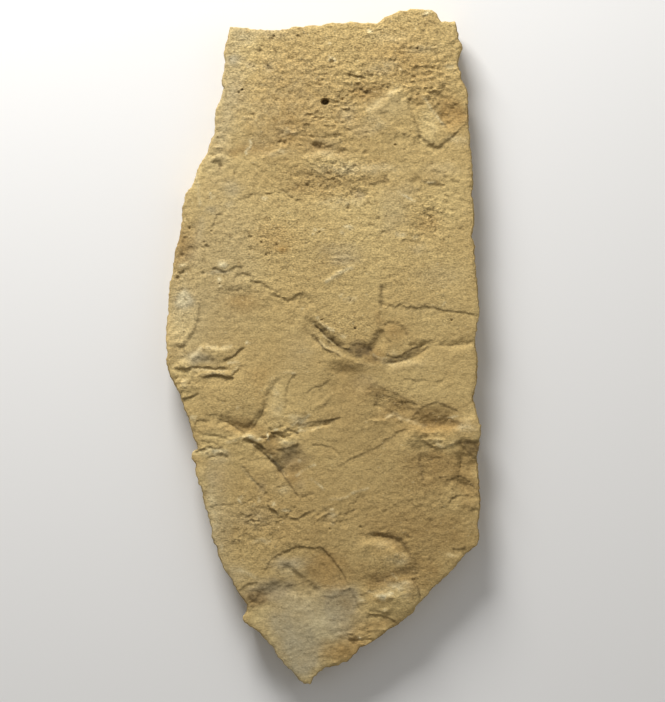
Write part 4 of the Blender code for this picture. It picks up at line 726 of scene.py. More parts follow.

# Thin pale scratches and rims, and painted highlights along lit lips and ridges, from the wide
# end to the narrow one: path, half width, strength.
PALE_AND_HIGHLIGHT_LINES = (
    (((0.6, 106), (1.4, 103.6), (3, 102.4)), 0.4, 0.4),
    (((1.6, 96.6), (2, 97.8), (3, 98.1), (3.9, 97.4), (4, 96.4)), 0.3, 0.6),
    (((33.4, 86), (36.4, 81.2), (39.4, 77.2), (41.4, 74.4)), 0.5, 0.4),
    (((13.8, 79.6), (17.8, 82.1), (20.8, 84.6), (23.8, 87), (27.6, 88.6)), 1.1, 0.18),
    (((-25, 70.5), (-24.7, 69), (-25.3, 67.5), (-26.4, 66.5), (-26, 65)), 0.35, 0.6),
    (((-43.6, 60), (-42.6, 54), (-41.8, 47)), 0.5, 0.25),
    (((25, 52.8), (27, 51.6), (28.5, 50.8), (30, 50.2), (31.6, 48.9)), 0.3, 0.9),
    (((-38.3, 52.6), (-38, 50)), 0.3, 0.6),
    (((-37.2, 51.6), (-36.8, 49.8)), 0.3, 0.5),
    (((0.4, 21.6), (2.5, 23), (4, 24), (5.5, 25), (8, 26.3), (10.6, 27.2)), 0.7, 0.5),
    (((5.2, 16.6), (7.2, 17.9)), 0.3, 0.5),
    (((6.4, 15.4), (9, 16.4), (12, 17)), 0.4, 0.5),
    (((40.5, 13.8), (41.7, 15.4)), 0.4, 0.4),
    (((-2.4, 10.2), (-1, 8.3), (0.5, 7), (2, 6.1), (4, 5.2)), 0.45, 0.8),
    (((-0.4, 4.4), (1, 3), (2.3, 2.2), (3.8, 1.1), (4.6, 0.4)), 0.22, 0.4),
    (((-1.8, 2.4), (-0.2, 0.6), (1.4, -0.4), (4, -1.5), (7, -2.9)), 0.6, 0.25),
    (((-26.6, 0.8), (-25.6, 1.8)), 0.45, 0.8),
    (((-40.6, 0.2), (-38.4, -0.2), (-36, -0.7), (-33, -0.2), (-30.4, 0.2)), 0.7, 0.3),
    (((16.4, -2.6), (19.6, -3.8), (22, -3.9)), 0.25, 0.3),
    (((-45.6, -4.4), (-44, -3), (-42.4, -1), (-41, 0.1)), 0.5, 0.35),
    (((-33, -5.8), (-31, -5.2), (-29, -5.4), (-28.8, -6.4), (-30.4, -8.4), (-31.2, -9.8)),
     0.35, 0.4),
    (((-45, -8.2), (-41, -7.9), (-36, -8.1), (-32, -8)), 0.4, 0.3),
    (((-42, -9.3), (-38, -9.2), (-33, -9.4)), 0.35, 0.35),
    (((-45.8, -24.2), (-43, -24.5)), 0.7, 0.6),
    (((42, -24.3), (44.4, -23.8), (46, -23.6)), 0.35, 0.35),
    (((20, -24.4), (22, -23.7), (24.2, -22.9), (26, -24.1), (28, -25), (32, -26.1), (35.6, -27.8)),
     0.6, 0.3),
    (((28, -25.1), (30, -25.3)), 0.4, 0.35),
    (((-8.4, -26.6), (-7, -25.2), (-5.4, -23.8), (-4.6, -22.6)), 0.35, 0.45),
    (((-8.6, -28.1), (-6.6, -27.1), (-4.6, -26.4)), 0.3, 0.3),
    (((-4.4, -28.7), (-3, -28), (-1.2, -27.3)), 0.25, 0.3),
    (((-14.4, -29), (-12, -27.6), (-9.6, -26), (-7.4, -24.2)), 0.25, 0.35),
    (((-10.4, -29.6), (-8, -28.8), (-5.4, -28.2)), 0.25, 0.3),
    (((37.4, -32.8), (39.4, -33.6), (41.4, -33.9), (44, -32.9), (46, -31.5)), 0.5, 0.25),
    (((-34, -33.2), (-31, -32), (-28, -31), (-26.4, -30.2)), 0.4, 0.25),
    (((-40, -34.9), (-38, -35), (-36, -35.2)), 0.4, 0.4),
    (((-37.8, -35.6), (-36, -35.4), (-34.2, -35.6)), 0.6, 0.3),
    (((-16.8, -38.9), (-15, -41), (-13.2, -43.6)), 0.3, 0.45),
    (((-28.2, -40.2), (-26.2, -43), (-24, -45.2), (-21.6, -47.8)), 0.35, 0.35),
    (((-9.8, -44.2), (-7.5, -42.5), (-5.5, -41.2), (-3.5, -40.5), (-2.3, -40.3)), 0.35, 0.6),
    (((-5, -44.4), (-3, -46), (-1, -47.5), (0.6, -49.2)), 0.35, 0.5),
    (((1.4, -52), (5, -51.7), (7.5, -51.2), (9, -50.4), (10.5, -49.6), (13, -49), (16, -47.8)),
     0.28, 0.5),
    (((-22, -58), (-19, -60.4)), 0.4, 0.3),
    (((-32, -76), (-27, -76.4), (-22, -79)), 0.6, 0.3),
    (((23, -76.8), (25.2, -79.2)), 0.4, 0.6),
)

# Dirt, and painted shade in hollows and on slopes turned from the light, besides that of the
# steps, from the wide end to the narrow one: path, half width, strength.
DIRT_AND_SHADE_LINES = (
    (((31.4, 101.4), (33.4, 100.2)), 0.25, 0.5),
    (((37.6, 73.4), (38.2, 71.8)), 0.4, 0.4),
    (((33.4, 70.6), (32, 75), (30, 80)), 0.9, 0.12),
    (((-3, 68.2), (-1.8, 67.4), (-0.6, 67.6)), 0.8, 0.55),
    (((0, 67.8), (1.6, 67.6), (3.4, 66.8)), 0.9, 0.25),
    (((-36.8, 60.2), (-35.6, 60.6), (-34.6, 61.6)), 0.5, 0.6),
    (((-47.9, 47.2), (-47.4, 46.2)), 0.4, 0.5),
    (((-33.8, 9.8), (-31.6, 10.1)), 0.6, 0.45),
    (((-1, 6.4), (1, 4.6), (3, 3.2), (5, 1.4), (8, 0.4)), 0.9, 0.35),
    (((-4.6, 6.4), (-2.4, 4.6), (-0.6, 3.2)), 1.2, 0.25),
    (((-39.5, 4.8), (-39.6, 3.6)), 0.5, 0.4),
    (((-4, 4.4), (-2.4, 2.4)), 0.8, 0.3),
    (((45.4, 3.6), (44.6, 3.2)), 0.3, 0.2),
    (((0, 2.6), (2, 0.8), (4, -0.3), (6.4, -1.6), (9.6, -3)), 0.9, 0.35),
    (((20.6, 2.4), (22, 2.7), (23, 2.5)), 0.25, 0.35),
    (((20.6, 1.3), (21.6, 1.7), (22.8, 1.6)), 0.25, 0.4),
    (((9.6, 0.9), (11, 0.7), (12.6, 0.9)), 0.5, 0.35),
    (((13.2, 0.6), (14.2, -1.2), (14.6, -2.8)), 0.7, 0.35),
    (((8, -0.8), (10, -1.5), (12.2, -1.8), (14, -1.3), (15.4, 0.2)), 1.4, 1.0),
    (((14.4, -1.2), (16.2, 0.4), (17.6, 2.4), (18.8, 4.2)), 1.3, 0.28),
    (((10.4, -2.2), (12, -2.7), (13.4, -2.2), (14.4, -1)), 0.7, 0.4),
    (((14, -2.4), (16, -3.2), (18.6, -3.4)), 1.4, 0.35),
    (((16.4, -3.4), (18.6, -4.4), (21, -4.8)), 0.9, 0.4),
    (((21, -4.4), (24, -4.3), (27, -3.3), (30, -1.9), (33, -0.5)), 1.2, 0.45),
    (((3.6, -6.6), (6.4, -6.6), (9.6, -6.6)), 1.0, 0.15),
    (((18, -16.2), (19, -16.4)), 0.5, 0.4),
    (((1.2, -19.4), (0.6, -20.4)), 0.4, 0.6),
    (((-22, -22.2), (-20.3, -21.4)), 0.35, 0.5),
    (((33.6, -23.8), (38, -23.2), (43, -24)), 3.2, 0.08),
    (((-15.2, -25.9), (-14.2, -27)), 0.4, 0.6),
    (((33, -26.2), (35.6, -27), (38, -26.9), (41, -26.3), (45.4, -26.2)), 0.7, 0.2),
    (((-11.4, -26.4), (-10, -27)), 0.3, 0.5),
    (((-17.6, -29.6), (-16, -31), (-15.4, -32.4)), 1.2, 0.35),
    (((-26.4, -32.1), (-24.6, -32.6), (-23.2, -33.2)), 0.5, 0.4),
    (((-9, -32.2), (-7.4, -31.6), (-6.2, -32.2)), 0.35, 0.35),
    (((47.4, -32.8), (50, -33.4), (53.4, -33.8)), 1.7, 0.5),
    (((-19.6, -34.4), (-17.4, -36), (-15.6, -37.8)), 1.3, 0.22),
    (((49.4, -34.8), (51.4, -36), (53, -37)), 1.5, 0.45),
    (((-20, -36.4), (-17.4, -39), (-15, -41.9), (-13, -44.4)), 0.4, 0.7),
    (((-18, -36.9), (-15.8, -39.6), (-13.8, -42), (-12.4, -43.8)), 0.3, 0.45),
    (((-14, -38), (-10, -41.4), (-8, -42)), 2.4, 0.16),
    (((-25.6, -52), (-24.8, -52.5)), 0.4, 0.5),
    (((-18.8, -52.2), (-18.6, -53.4)), 0.5, 0.5),
    (((17, -64.6), (22, -65.2), (26, -66.8), (28.4, -69.6)), 1.0, 0.2),
    (((-30, -65.2), (-30.3, -66), (-30.8, -66.8)), 0.3, 0.9),
    (((-28.9, -65.7), (-28.2, -66.3)), 0.25, 0.7),
    (((-3, -72), (1, -75), (5, -79)), 4.0, 0.1),
    (((17, -79.4), (21, -79), (25, -77.2), (29, -76.4), (32.6, -78)), 1.7, 0.45),
    (((30.4, -80.4), (32, -82.4), (32.8, -85.6)), 0.5, 0.4),
    (((0, -84.6), (5, -86), (9, -89)), 3.0, 0.15),
    (((-26, -84.6), (-22.4, -86), (-19, -86.6)), 1.8, 0.3),
    (((-26.6, -88), (-21, -84.4), (-13, -81.8), (-6, -80.8), (0, -82.4)), 2.4, 0.42),
    (((9.2, -100.4), (11.8, -100.8)), 0.6, 0.25),
)


def smooth(low, high, value):
    """0 at low and 1 at high, with a smooth slope between. Low may be the greater of the two."""
    t = np.clip((value - low) / (high - low), 0.0, 1.0)
    return t * t * (3.0 - 2.0 * t)


def gradient_noise(spots, pitch, seed):
    """Smooth random hills, about -0.7 to 0.7, a pitch apart."""
    size = 256
    angles = np.random.default_rng(seed).uniform(0.0, 2.0 * math.pi, (size, size))
    cells = spots / pitch
    corner = np.floor(cells).astype(int)
    inside = cells - corner
    fade = inside ** 3 * (inside * (inside * 6.0 - 15.0) + 10.0)

    def pull(right, up):
        angle = angles[(corner[:, 0] + right) % size, (corner[:, 1] + up) % size]
        return np.cos(angle) * (inside[:, 0] - right) + np.sin(angle) * (inside[:, 1] - up)

    lower = pull(0, 0) + fade[:, 0] * (pull(1, 0) - pull(0, 0))
    upper = pull(0, 1) + fade[:, 0] * (pull(1, 1) - pull(0, 1))
    return lower + fade[:, 1] * (upper - lower)


def layered_noise(spots, pitch, seed, octaves=3):
    """Hills with smaller hills on them, each octave half as large and half as high."""
    total = np.zeros(len(spots))
    for octave in range(octaves):
        total += gradient_noise(spots, pitch / 2 ** octave, seed + octave) / 2 ** octave
    return total


def stretches(corners):
    """Lengths of a path's stretches, and how far along it each corner is."""
    lengths = np.linalg.norm(np.diff(corners, axis=0), axis=1)
    return lengths, np.concatenate([[0.0], np.cumsum(lengths)])


def near_path(spots, path, reach):
    """Spots within reach of a path: their indices, distances, sides (1 is left) and progress."""
    corners = np.array(path, dtype=float)
    boxed = (spots > corners.min(axis=0) - reach) & (spots < corners.max(axis=0) + reach)
    picked = np.flatnonzero(boxed.all(axis=1))
    nearby = spots[picked]
    lengths, starts = stretches(corners)
    best = np.full(len(nearby), np.inf)
    side = np.ones(len(nearby))
    progress = np.zeros(len(nearby))
    for index, length in enumerate(lengths):
        direction = (corners[index + 1] - corners[index]) / length
        offset = nearby - corners[index]
        along = np.clip(offset @ direction, 0.0, length)
        gap = np.linalg.norm(offset - along[:, None] * direction, axis=1)
        cross = direction[0] * offset[:, 1] - direction[1] * offset[:, 0]
        nearer = gap < best
        best[nearer] = gap[nearer]
        side[nearer] = np.where(cross[nearer] > 0.0, 1.0, -1.0)
        progress[nearer] = (starts[index] + along[nearer]) / starts[-1]
    return picked, best, side, progress


def closed(ring):
    """A ring with its first corner again at its end."""
    return np.vstack([ring, ring[:1]])


def ring_distance(spots, ring):
    """Distance of every spot from a ring, wherever it is."""
    return near_path(spots, closed(ring), WHOLE_SLAB)[1]


def rounded(path):
    """A path's points with three more between each two, on a smooth curve through them."""
    corners = np.array(path, dtype=float)
    padded = np.vstack([2 * corners[0] - corners[1], corners, 2 * corners[-1] - corners[-2]])
    curve = []
    for before, start, end, after in zip(padded, padded[1:], padded[2:], padded[3:]):
        for t in (0.0, 0.25, 0.5, 0.75):
            bend = (2 * before - 5 * start + 4 * end - after) * t * t
            swing = (3 * start - before - 3 * end + after) * t ** 3
            curve.append(0.5 * (2 * start + (end - before) * t + bend + swing))
    curve.append(corners[-1])
    return curve


def taper(progress, part):
    """Fade a line out over the first and last part of its length."""
    return smooth(0.0, part, progress) * smooth(1.0, 1.0 - part, progress)


def add_steps(relief, spots):
    """Lower the ground to the right of each step. A narrow slope is broken, a wide one worn."""
    for path, drop, reach, wall, _ in STEPS:
        picked, distance, side, progress = near_path(spots, rounded(path), 4.0 * reach + wall)
        ends = taper(progress, min(0.1 + 0.05 * wall, LONGEST_TAPER))
        worn = smooth(BROKEN_WALL, WORN_WALL, wall)
        broken = gradient_noise(spots[picked], pitch=1.9, seed=19) * (1.0 - worn)
        # The slope is narrower at the ends of the step, and ragged where it is broken.
        width = wall * (0.4 + 0.6 * ends) * (1.0 + 0.5 * broken)
        low_side = np.clip(0.5 - side * distance / width, 0.0, 1.0)
        low_side += worn * (smooth(0.0, 1.0, low_side) - low_side)
        uneven = 1.0 + 0.6 * gradient_noise(spots[picked], pitch=4.0, seed=17) + 0.4 * broken
        # From the foot of the slope, the low ground rises again over its reach.
        beyond = np.clip(distance - width / 2, 0.0, None)
        relief[picked] -= drop * uneven * ends * low_side * np.exp(-beyond / reach)


def add_lines(field, spots, lines, sign=1.0):
    """Raise or lower a field along lines: path, half width, amount."""
    for path, half_width, amount in lines:
        picked, distance, _, progress = near_path(spots, rounded(path), 3.0 * half_width)
        uneven = 1.0 + 0.7 * gradient_noise(spots[picked], pitch=1.6, seed=27)
        across = distance / (half_width * (0.5 + 0.5 * uneven))
        ends = taper(progress, LINE_TAPER)
        field[picked] += sign * amount * uneven * ends * np.exp(-across ** 2)


def add_spots(field, spots, patches, edge=1.0):
    """Raise a field over patches: centre, radii, amount. A high edge makes the patch flat."""
    for centre, radii, amount in patches:
        scaled = ((spots - np.array(centre)) / np.array(radii)) ** 2
        field += amount * np.exp(-scaled.sum(axis=1) ** edge)


def wander(spots, seed):
    """Shift spots a little, so that lines and patches have natural, uneven edges."""
    shifted = spots.copy()
    for axis in (0, 1):
        for pitch, shift, seed_step in WANDER_WAVES:
            shifted[:, axis] += shift * gradient_noise(spots, pitch, seed + seed_step + axis)
    return shifted


def hole_distance(spots):
    offset = (spots - np.array(HOLE_CENTRE)) / np.array(HOLE_STRETCH)
    return np.linalg.norm(offset, axis=1)


def left_strip(spots):
    """Fall of the broken strip along the left side, in ledges."""
    fall = np.zeros(len(spots))
    picked, distance, side, _ = near_path(spots, LEFT_STRIP, LEFT_STRIP_REACH)
    outside = np.clip(-side * distance / LEFT_STRIP_WIDTH, 0.0, 1.0)
    level = outside * LEFT_STRIP_LEDGES + 0.5 * gradient_noise(spots[picked], pitch=5.0, seed=71)
    stairs = np.floor(level) + smooth(LEFT_STRIP_FLAT, 1.0, level - np.floor(level))
    stairs = stairs / LEFT_STRIP_LEDGES
    fall[picked] = LEFT_STRIP_FALL * np.clip(0.35 * outside + 0.65 * stairs, 0.0, 1.2)
    fall[picked] *= outside > 0.0
    return fall


def lumps(spots):
    """Grain and lumps of the split surface."""
    amount = np.full(len(spots), ROUGH_EVERYWHERE)
    add_spots(amount, spots, ROUGH_PATCHES)
    streaks = spots * LUMP_STRETCH
    coarse = layered_noise(streaks, pitch=1.9, seed=31, octaves=2)
    coarse += 0.9 * gradient_noise(streaks, pitch=0.85, seed=33)
    billow = np.abs(gradient_noise(streaks, pitch=1.5, seed=41)) - 0.25
    broad = layered_noise(spots, pitch=11.0, seed=51, octaves=2)
    return amount * (1.1 * coarse - 1.2 * billow) + 0.16 * broad


def face_relief(spots):
    """Height of the track face above its mean plane."""
    moved = wander(spots, RELIEF_WANDER)
    relief = SWELL_HEIGHT * gradient_noise(spots, SWELL_PITCH, seed=3)
    add_steps(relief, moved)
    add_lines(relief, moved, GROOVES, -1.0)
    add_lines(relief, moved, RIDGES)
    add_spots(relief, moved, MOUNDS)
    for centre, radius, depth in PITS:
        gap = np.linalg.norm(moved - np.array(centre), axis=1)
        relief -= depth * smooth(radius * PIT_RIM, radius * PIT_FLOOR, gap)
    hole_gap = hole_distance(spots)
    relief -= HOLE_DEPTH * smooth(HOLE_RADIUS + HOLE_WALL, HOLE_RADIUS - HOLE_WALL, hole_gap)
    relief += lumps(spots) * smooth(HOLE_RADIUS, HOLE_RADIUS + HOLE_SURROUND, hole_gap)
    relief -= left_strip(moved)
    return relief


def needs_fine_mesh(spots):
    """Which spots lie on a step, a dark line, a pit or the hole, where the mesh is finest."""
    fine = hole_distance(spots) < HOLE_RADIUS * PIT_FINE_REACH
    moved = wander(spots, RELIEF_WANDER)
    for path in [step[0] for step in STEPS] + [line[0] for line in DIRT_AND_SHADE_LINES]:
        picked, distance, _, _ = near_path(moved, rounded(path), LINE_FINE_REACH)
        fine[picked[distance < LINE_FINE_REACH]] = True
    for centre, radius, _ in PITS:
        fine |= np.linalg.norm(spots - np.array(centre), axis=1) < radius * PIT_FINE_REACH
    return fine


def hex_grid(pitch):
    """Slightly uneven spots over the slab's box, each amid six others a pitch away."""
    low = OUTLINE.min(axis=0)
    high = OUTLINE.max(axis=0)
    rows = np.arange(low[1], high[1], pitch * math.sqrt(0.75))
    columns = np.arange(low[0], high[0], pitch)
    x, y = np.meshgrid(columns, rows)
    x = x + (np.arange(len(rows)) % 2)[:, None] * pitch / 2
    uneven = np.random.default_rng(5).uniform(-GRID_UNEVEN, GRID_UNEVEN, (x.size, 2)) * pitch
    return np.stack([x.ravel(), y.ravel()], axis=1) + uneven


def inside_ring(spots, ring):
    """Which spots a ring goes round, told by how often a line to the right crosses it."""
    inside = np.zeros(len(spots), dtype=bool)
    for (x0, y0), (x1, y1) in zip(ring, np.roll(ring, -1, axis=0)):
        crosses = (y0 > spots[:, 1]) != (y1 > spots[:, 1])
        edge_x = x0 + (spots[:, 1] - y0) * (x1 - x0) / ((y1 - y0) or 1.0)
        inside ^= crosses & (spots[:, 0] < edge_x)
    return inside


def within(spots, ring, margin):
    """The spots that are inside a ring and not too close to it."""
    spots = spots[inside_ring(spots, ring)]
    return spots[ring_distance(spots, ring) > margin]


def fill_ring(ring, spots):
    """The places of a ring and of the spots inside it, and triangles over them all."""
    count = len(ring)
    places = np.vstack([ring, spots])
    edges = [(index, (index + 1) % count) for index in range(count)]
    points = [Vector(place) for place in places]
    made, _, faces, _, _, _ = delaunay_2d_cdt(points, edges, [], 1, 1e-6)
    if len(made) != len(places):
        raise RuntimeError("places meet, or the ring crosses itself")
    return places, np.array(faces)


def edge_ring(sizes):
    """Even points along the outline with its fine chips, and the way out at each."""
    outline = closed(OUTLINE)
    _, starts = stretches(outline)
    count = int(starts[-1] / (sizes.edge_pitch / MM))
    walk = np.linspace(0.0, starts[-1], count, endpoint=False)
    ring = np.stack([np.interp(walk, starts, outline[:, axis]) for axis in (0, 1)], axis=1)
    spread = range(-OUTWARD_SPREAD, OUTWARD_SPREAD + 1)
    smoothed = sum(np.roll(ring, shift, axis=0) for shift in spread) / len(spread)
    tangent = np.roll(smoothed, -1, axis=0) - np.roll(smoothed, 1, axis=0)
    tangent /= np.linalg.norm(tangent, axis=1)[:, None]
    outward = np.stack([-tangent[:, 1], tangent[:, 0]], axis=1)
    # Notches all along, fine ones on them, and a larger chip here and there.
    chips = 0.5 * np.abs(gradient_noise(ring, pitch=2.6, seed=81))
    chips += 0.3 * gradient_noise(ring, pitch=1.2, seed=82)
    chips += 0.5 * smooth(0.1, 0.4, gradient_noise(ring, pitch=5.0, seed=84))
    return ring - outward * chips[:, None], outward


def back_depth(spots):
    """How far thin flakes have come off the back."""
    depth = np.zeros(len(spots))
    waver = 5.0 * layered_noise(spots, pitch=12.0, seed=91)
    for corners, flake in BACK_FLAKES:
        corners = np.array(corners, dtype=float)
        distance = ring_distance(spots, corners)
        signed = np.where(inside_ring(spots, corners), distance, -distance) + waver
        depth = np.maximum(depth, flake * smooth(-0.7, 0.7, signed))
    depth += 0.12 * np.clip(layered_noise(spots, pitch=6.0, seed=95), 0.0, None)
    small = layered_noise(spots, pitch=2.0, seed=97, octaves=2)
    return depth + 0.05 * np.clip(small, 0.0, None)


def side_levels(ring, rim_inset, rim_height):
    """Inset and height of every ring down the broken sides, from the rim to the back."""
    walk = np.arange(len(ring)) * SIDE_WALK

    def wave(row, pitch, seed):
        """Noise along the sides. Rows far apart in it are unlike."""
        strip = np.stack([walk, np.full(len(walk), row)], axis=1)
        return gradient_noise(strip, pitch, seed)

    levels = []
    for index, (share, height_share) in enumerate(RIM_LEDGES):
        waver = 0.12 * wave(19.0 * index, pitch=3.0, seed=55)
        height = WIDEST_HEIGHT + (rim_height - WIDEST_HEIGHT) * (height_share + waver)
        levels.append((rim_inset * share, height))
    low_limit = back_depth(ring) + BACK_EDGE
    top = WIDEST_HEIGHT
    for index, layer in enumerate(LAYERS):
        foot = top - UPRIGHT_EDGE
        for height in (top, foot):
            step = index + (height < WIDEST_HEIGHT)
            row = 37.0 * step
            broken = np.abs(wave(row, pitch=13.0, seed=60 + step)) * 2.4
            broken += 1.1 * wave(row, pitch=4.0, seed=70 + step)
            broken += 0.45 * wave(row, pitch=1.6, seed=75 + step)
            away = smooth(WIDEST_HEIGHT, WIDEST_HEIGHT - FULLY_BROKEN, height)
            under = UNDERCUT * smooth(WIDEST_HEIGHT, 0.0, height)
            waver = 0.35 * wave(row, pitch=9.0, seed=85 + step)
            inset = np.clip(away * broken, 0.0, None) + under
            levels.append((inset, np.clip(height + waver, low_limit, WIDEST_HEIGHT)))
        top = foot - layer
    return levels


def face_surface(sizes, rim):
    """Places and triangles of the track face. The rim's places come first."""
    fine = hex_grid(sizes.fine_pitch / MM)
    plain = hex_grid(sizes.plain_pitch / MM)
    grid = np.vstack([fine[needs_fine_mesh(fine)], plain[~needs_fine_mesh(plain)]])
    spots, triangles = fill_ring(rim, within(grid, rim, FACE_MARGIN))
    heights = sizes.face_height / MM + face_relief(spots)
    near_edge = smooth(RIM_FALL_START, RIM_FALL_WHOLE, ring_distance(spots, OUTLINE))
    heights -= sizes.rim_fall / MM * near_edge
    return np.column_stack([spots, heights]), triangles


def back_surface(sizes, ring, outward):
    """Places and triangles of the back, which is undercut all round."""
    inset = UNDERCUT + 0.8 * np.abs(gradient_noise(ring, pitch=8.0, seed=88))
    edge = ring - outward * inset[:, None]
    grid = within(hex_grid(sizes.back_pitch / MM), edge, BACK_MARGIN)
    spots, triangles = fill_ring(edge, grid)
    return np.column_stack([spots, back_depth(spots)]), triangles[:, ::-1]


def make_slab_mesh(sizes):
    """The whole stone as one closed mesh, its places, and how many of them are on the face."""
    ring, outward = edge_ring(sizes)
    rim_inset = sizes.rim_width / MM * (1.0 + 0.6 * gradient_noise(ring, pitch=5.0, seed=83))
    face, face_triangles = face_surface(sizes, ring - outward * rim_inset[:, None])
    back, back_triangles = back_surface(sizes, ring, outward)

    count = len(ring)
    parts = [face]
    for inset, height in side_levels(ring, rim_inset, face[:count, 2]):
        parts.append(np.column_stack([ring - outward * inset[:, None], height]))
    parts.append(back)
    starts = np.cumsum([0] + [len(part) for part in parts[:-1]])
    here = np.arange(count)
    after = (here + 1) % count
    triangles = [face_triangles]
    for upper, lower in zip(starts, starts[1:]):
        triangles.append(np.stack([upper + here, lower + after, lower + here], axis=1))
        triangles.append(np.stack([upper + here, upper + after, lower + after], axis=1))
    triangles.append(back_triangles + starts[-1])

    places = np.vstack(parts)
    mesh = bpy.data.meshes.new(CAD_NODE + "_stone")
    mesh.from_pydata((places * MM).tolist(), [], np.vstack(triangles).tolist())
    mesh.update()
    return mesh, places, len(face)


def paint(mesh, name, values):
    """Keep a value from 0 to 1 at each of the mesh's places, for its material."""
    layer = mesh.attributes.new(name, "FLOAT", "POINT")
    layer.data.foreach_set("value", np.clip(values, 0.0, 1.0).astype(np.float32))


def pit_shade(spots, moved):
    """How dark the painted shade in the pits and the hole is at each spot."""
    shade = np.zeros(len(spots))
    for centre, radius, depth in PITS:
        gap = np.linalg.norm(moved - np.array(centre), axis=1)
        darkness = PIT_DARKNESS * depth ** 1.5
        shade = np.maximum(shade, darkness * smooth(radius * PIT_RIM, radius * PIT_MIDDLE, gap))
    # Some light reaches the middle of the hole's floor.
    gap = hole_distance(spots)
    hole = smooth(HOLE_RADIUS + HOLE_SHADE, HOLE_RADIUS - HOLE_SHADE, gap)
    return np.maximum(shade, hole * (0.7 + 0.3 * smooth(0.1, 0.7, gap)))


def paint_masks(mesh, places, face_count):
    """Where the stone is stained, bleached or dirty, and where shade and light are painted on it,
    kept on the mesh for its material.
    """
    spots = places[:, :2]
    moved = wander(spots, RELIEF_WANDER)
    ragged = [gradient_noise(spots, STAIN_PITCH, seed) for seed in (101, 102)]
    blurred = wander(spots, STAIN_WANDER) + STAIN_SHIFT * np.stack(ragged, axis=1)
    # Dirt and painted shade along the slopes of the steps.
    step_dirt_and_shade = tuple((path, max(THINNEST_DIRT_AND_SHADE, 0.5 * wall), dirt_and_shade)
                  for path, _, _, wall, dirt_and_shade in STEPS if dirt_and_shade)
    masks = {
        # Brown iron stains, and painted shade on slopes and in hollows turned from the light.
        "brown_stain_and_shade": (BROWN_STAIN_AND_SHADE_SPOTS, ()),
        "rust_stain": (RUST_SPOTS, ()),
        # Grey stone, and painted grey-blue shade in shaded hollows.
        "grey_bloom_and_shade": (GREY_BLOOM_AND_SHADE_SPOTS, ()),
        # Straw-coloured stone, and painted light on lit slopes.
        "straw_tint_and_light": (STRAW_AND_LIGHT_SPOTS, ()),
        # Pale scuffs and scratches, and painted highlights on lit lips and ridges.
        "pale_scuff_and_highlight": (PALE_AND_HIGHLIGHT_SPOTS, PALE_AND_HIGHLIGHT_LINES),
        # Dark dirt in cracks, and painted shade in hollows and on shaded slopes.
        "dark_dirt_and_shade": ((), DIRT_AND_SHADE_LINES + step_dirt_and_shade),
    }
    on_face = smooth(*STAIN_HEIGHTS, places[:, 2])
    for name, (patches, lines) in masks.items():
        amount = np.zeros(len(spots))
        add_spots(amount, blurred, patches, STAIN_EDGE)
        add_lines(amount, moved, lines)
        paint(mesh, name, amount * on_face)
    paint(mesh, "pit_shade", pit_shade(spots, moved) * on_face)
    side = np.ones(len(places))
    side[:face_count] = 0.0
    paint(mesh, "broken_side", side)
    grain = np.full(len(spots), GRAIN_EVERYWHERE)
    add_spots(grain, spots, GRAIN_SPOTS, STAIN_EDGE)
    paint(mesh, "grain", np.maximum(grain, SIDE_GRAIN * side))


class Value:
    """A shader socket that stands in Python sums: each sum adds its Math node."""

    def __init__(self, tree, socket):
        self.tree = tree
        self.socket = socket

    def maths(self, operation, *values):
        node = self.tree.add("ShaderNodeMath", {"operation": operation}, dict(enumerate(values)))
        return Value(self.tree, node.outputs[0])

    def __add__(self, other):
        return self.maths("ADD", self, other)

    def __radd__(self, other):
        return self.maths("ADD", other, self)

    def __sub__(self, other):
        return self.maths("SUBTRACT", self, other)

    def __rsub__(self, other):
        return self.maths("SUBTRACT", other, self)

    def __mul__(self, other):
        return self.maths("MULTIPLY", self, other)

    def __rmul__(self, other):
        return self.maths("MULTIPLY", other, self)

    def __abs__(self):
        return self.maths("ABSOLUTE", self)

    def between(self, low, high):
        """0 at low and 1 at high, smooth between. Low may be the greater of the two."""
        inputs = {"Value": self, "From Min": low, "From Max": high}
        settings = {"interpolation_type": "SMOOTHSTEP"}
        node = self.tree.add("ShaderNodeMapRange", settings, inputs)
        return Value(self.tree, node.outputs["Result"])

    def limited(self):
        return self.maths("MINIMUM", self.maths("MAXIMUM", self, 0.0), 1.0)


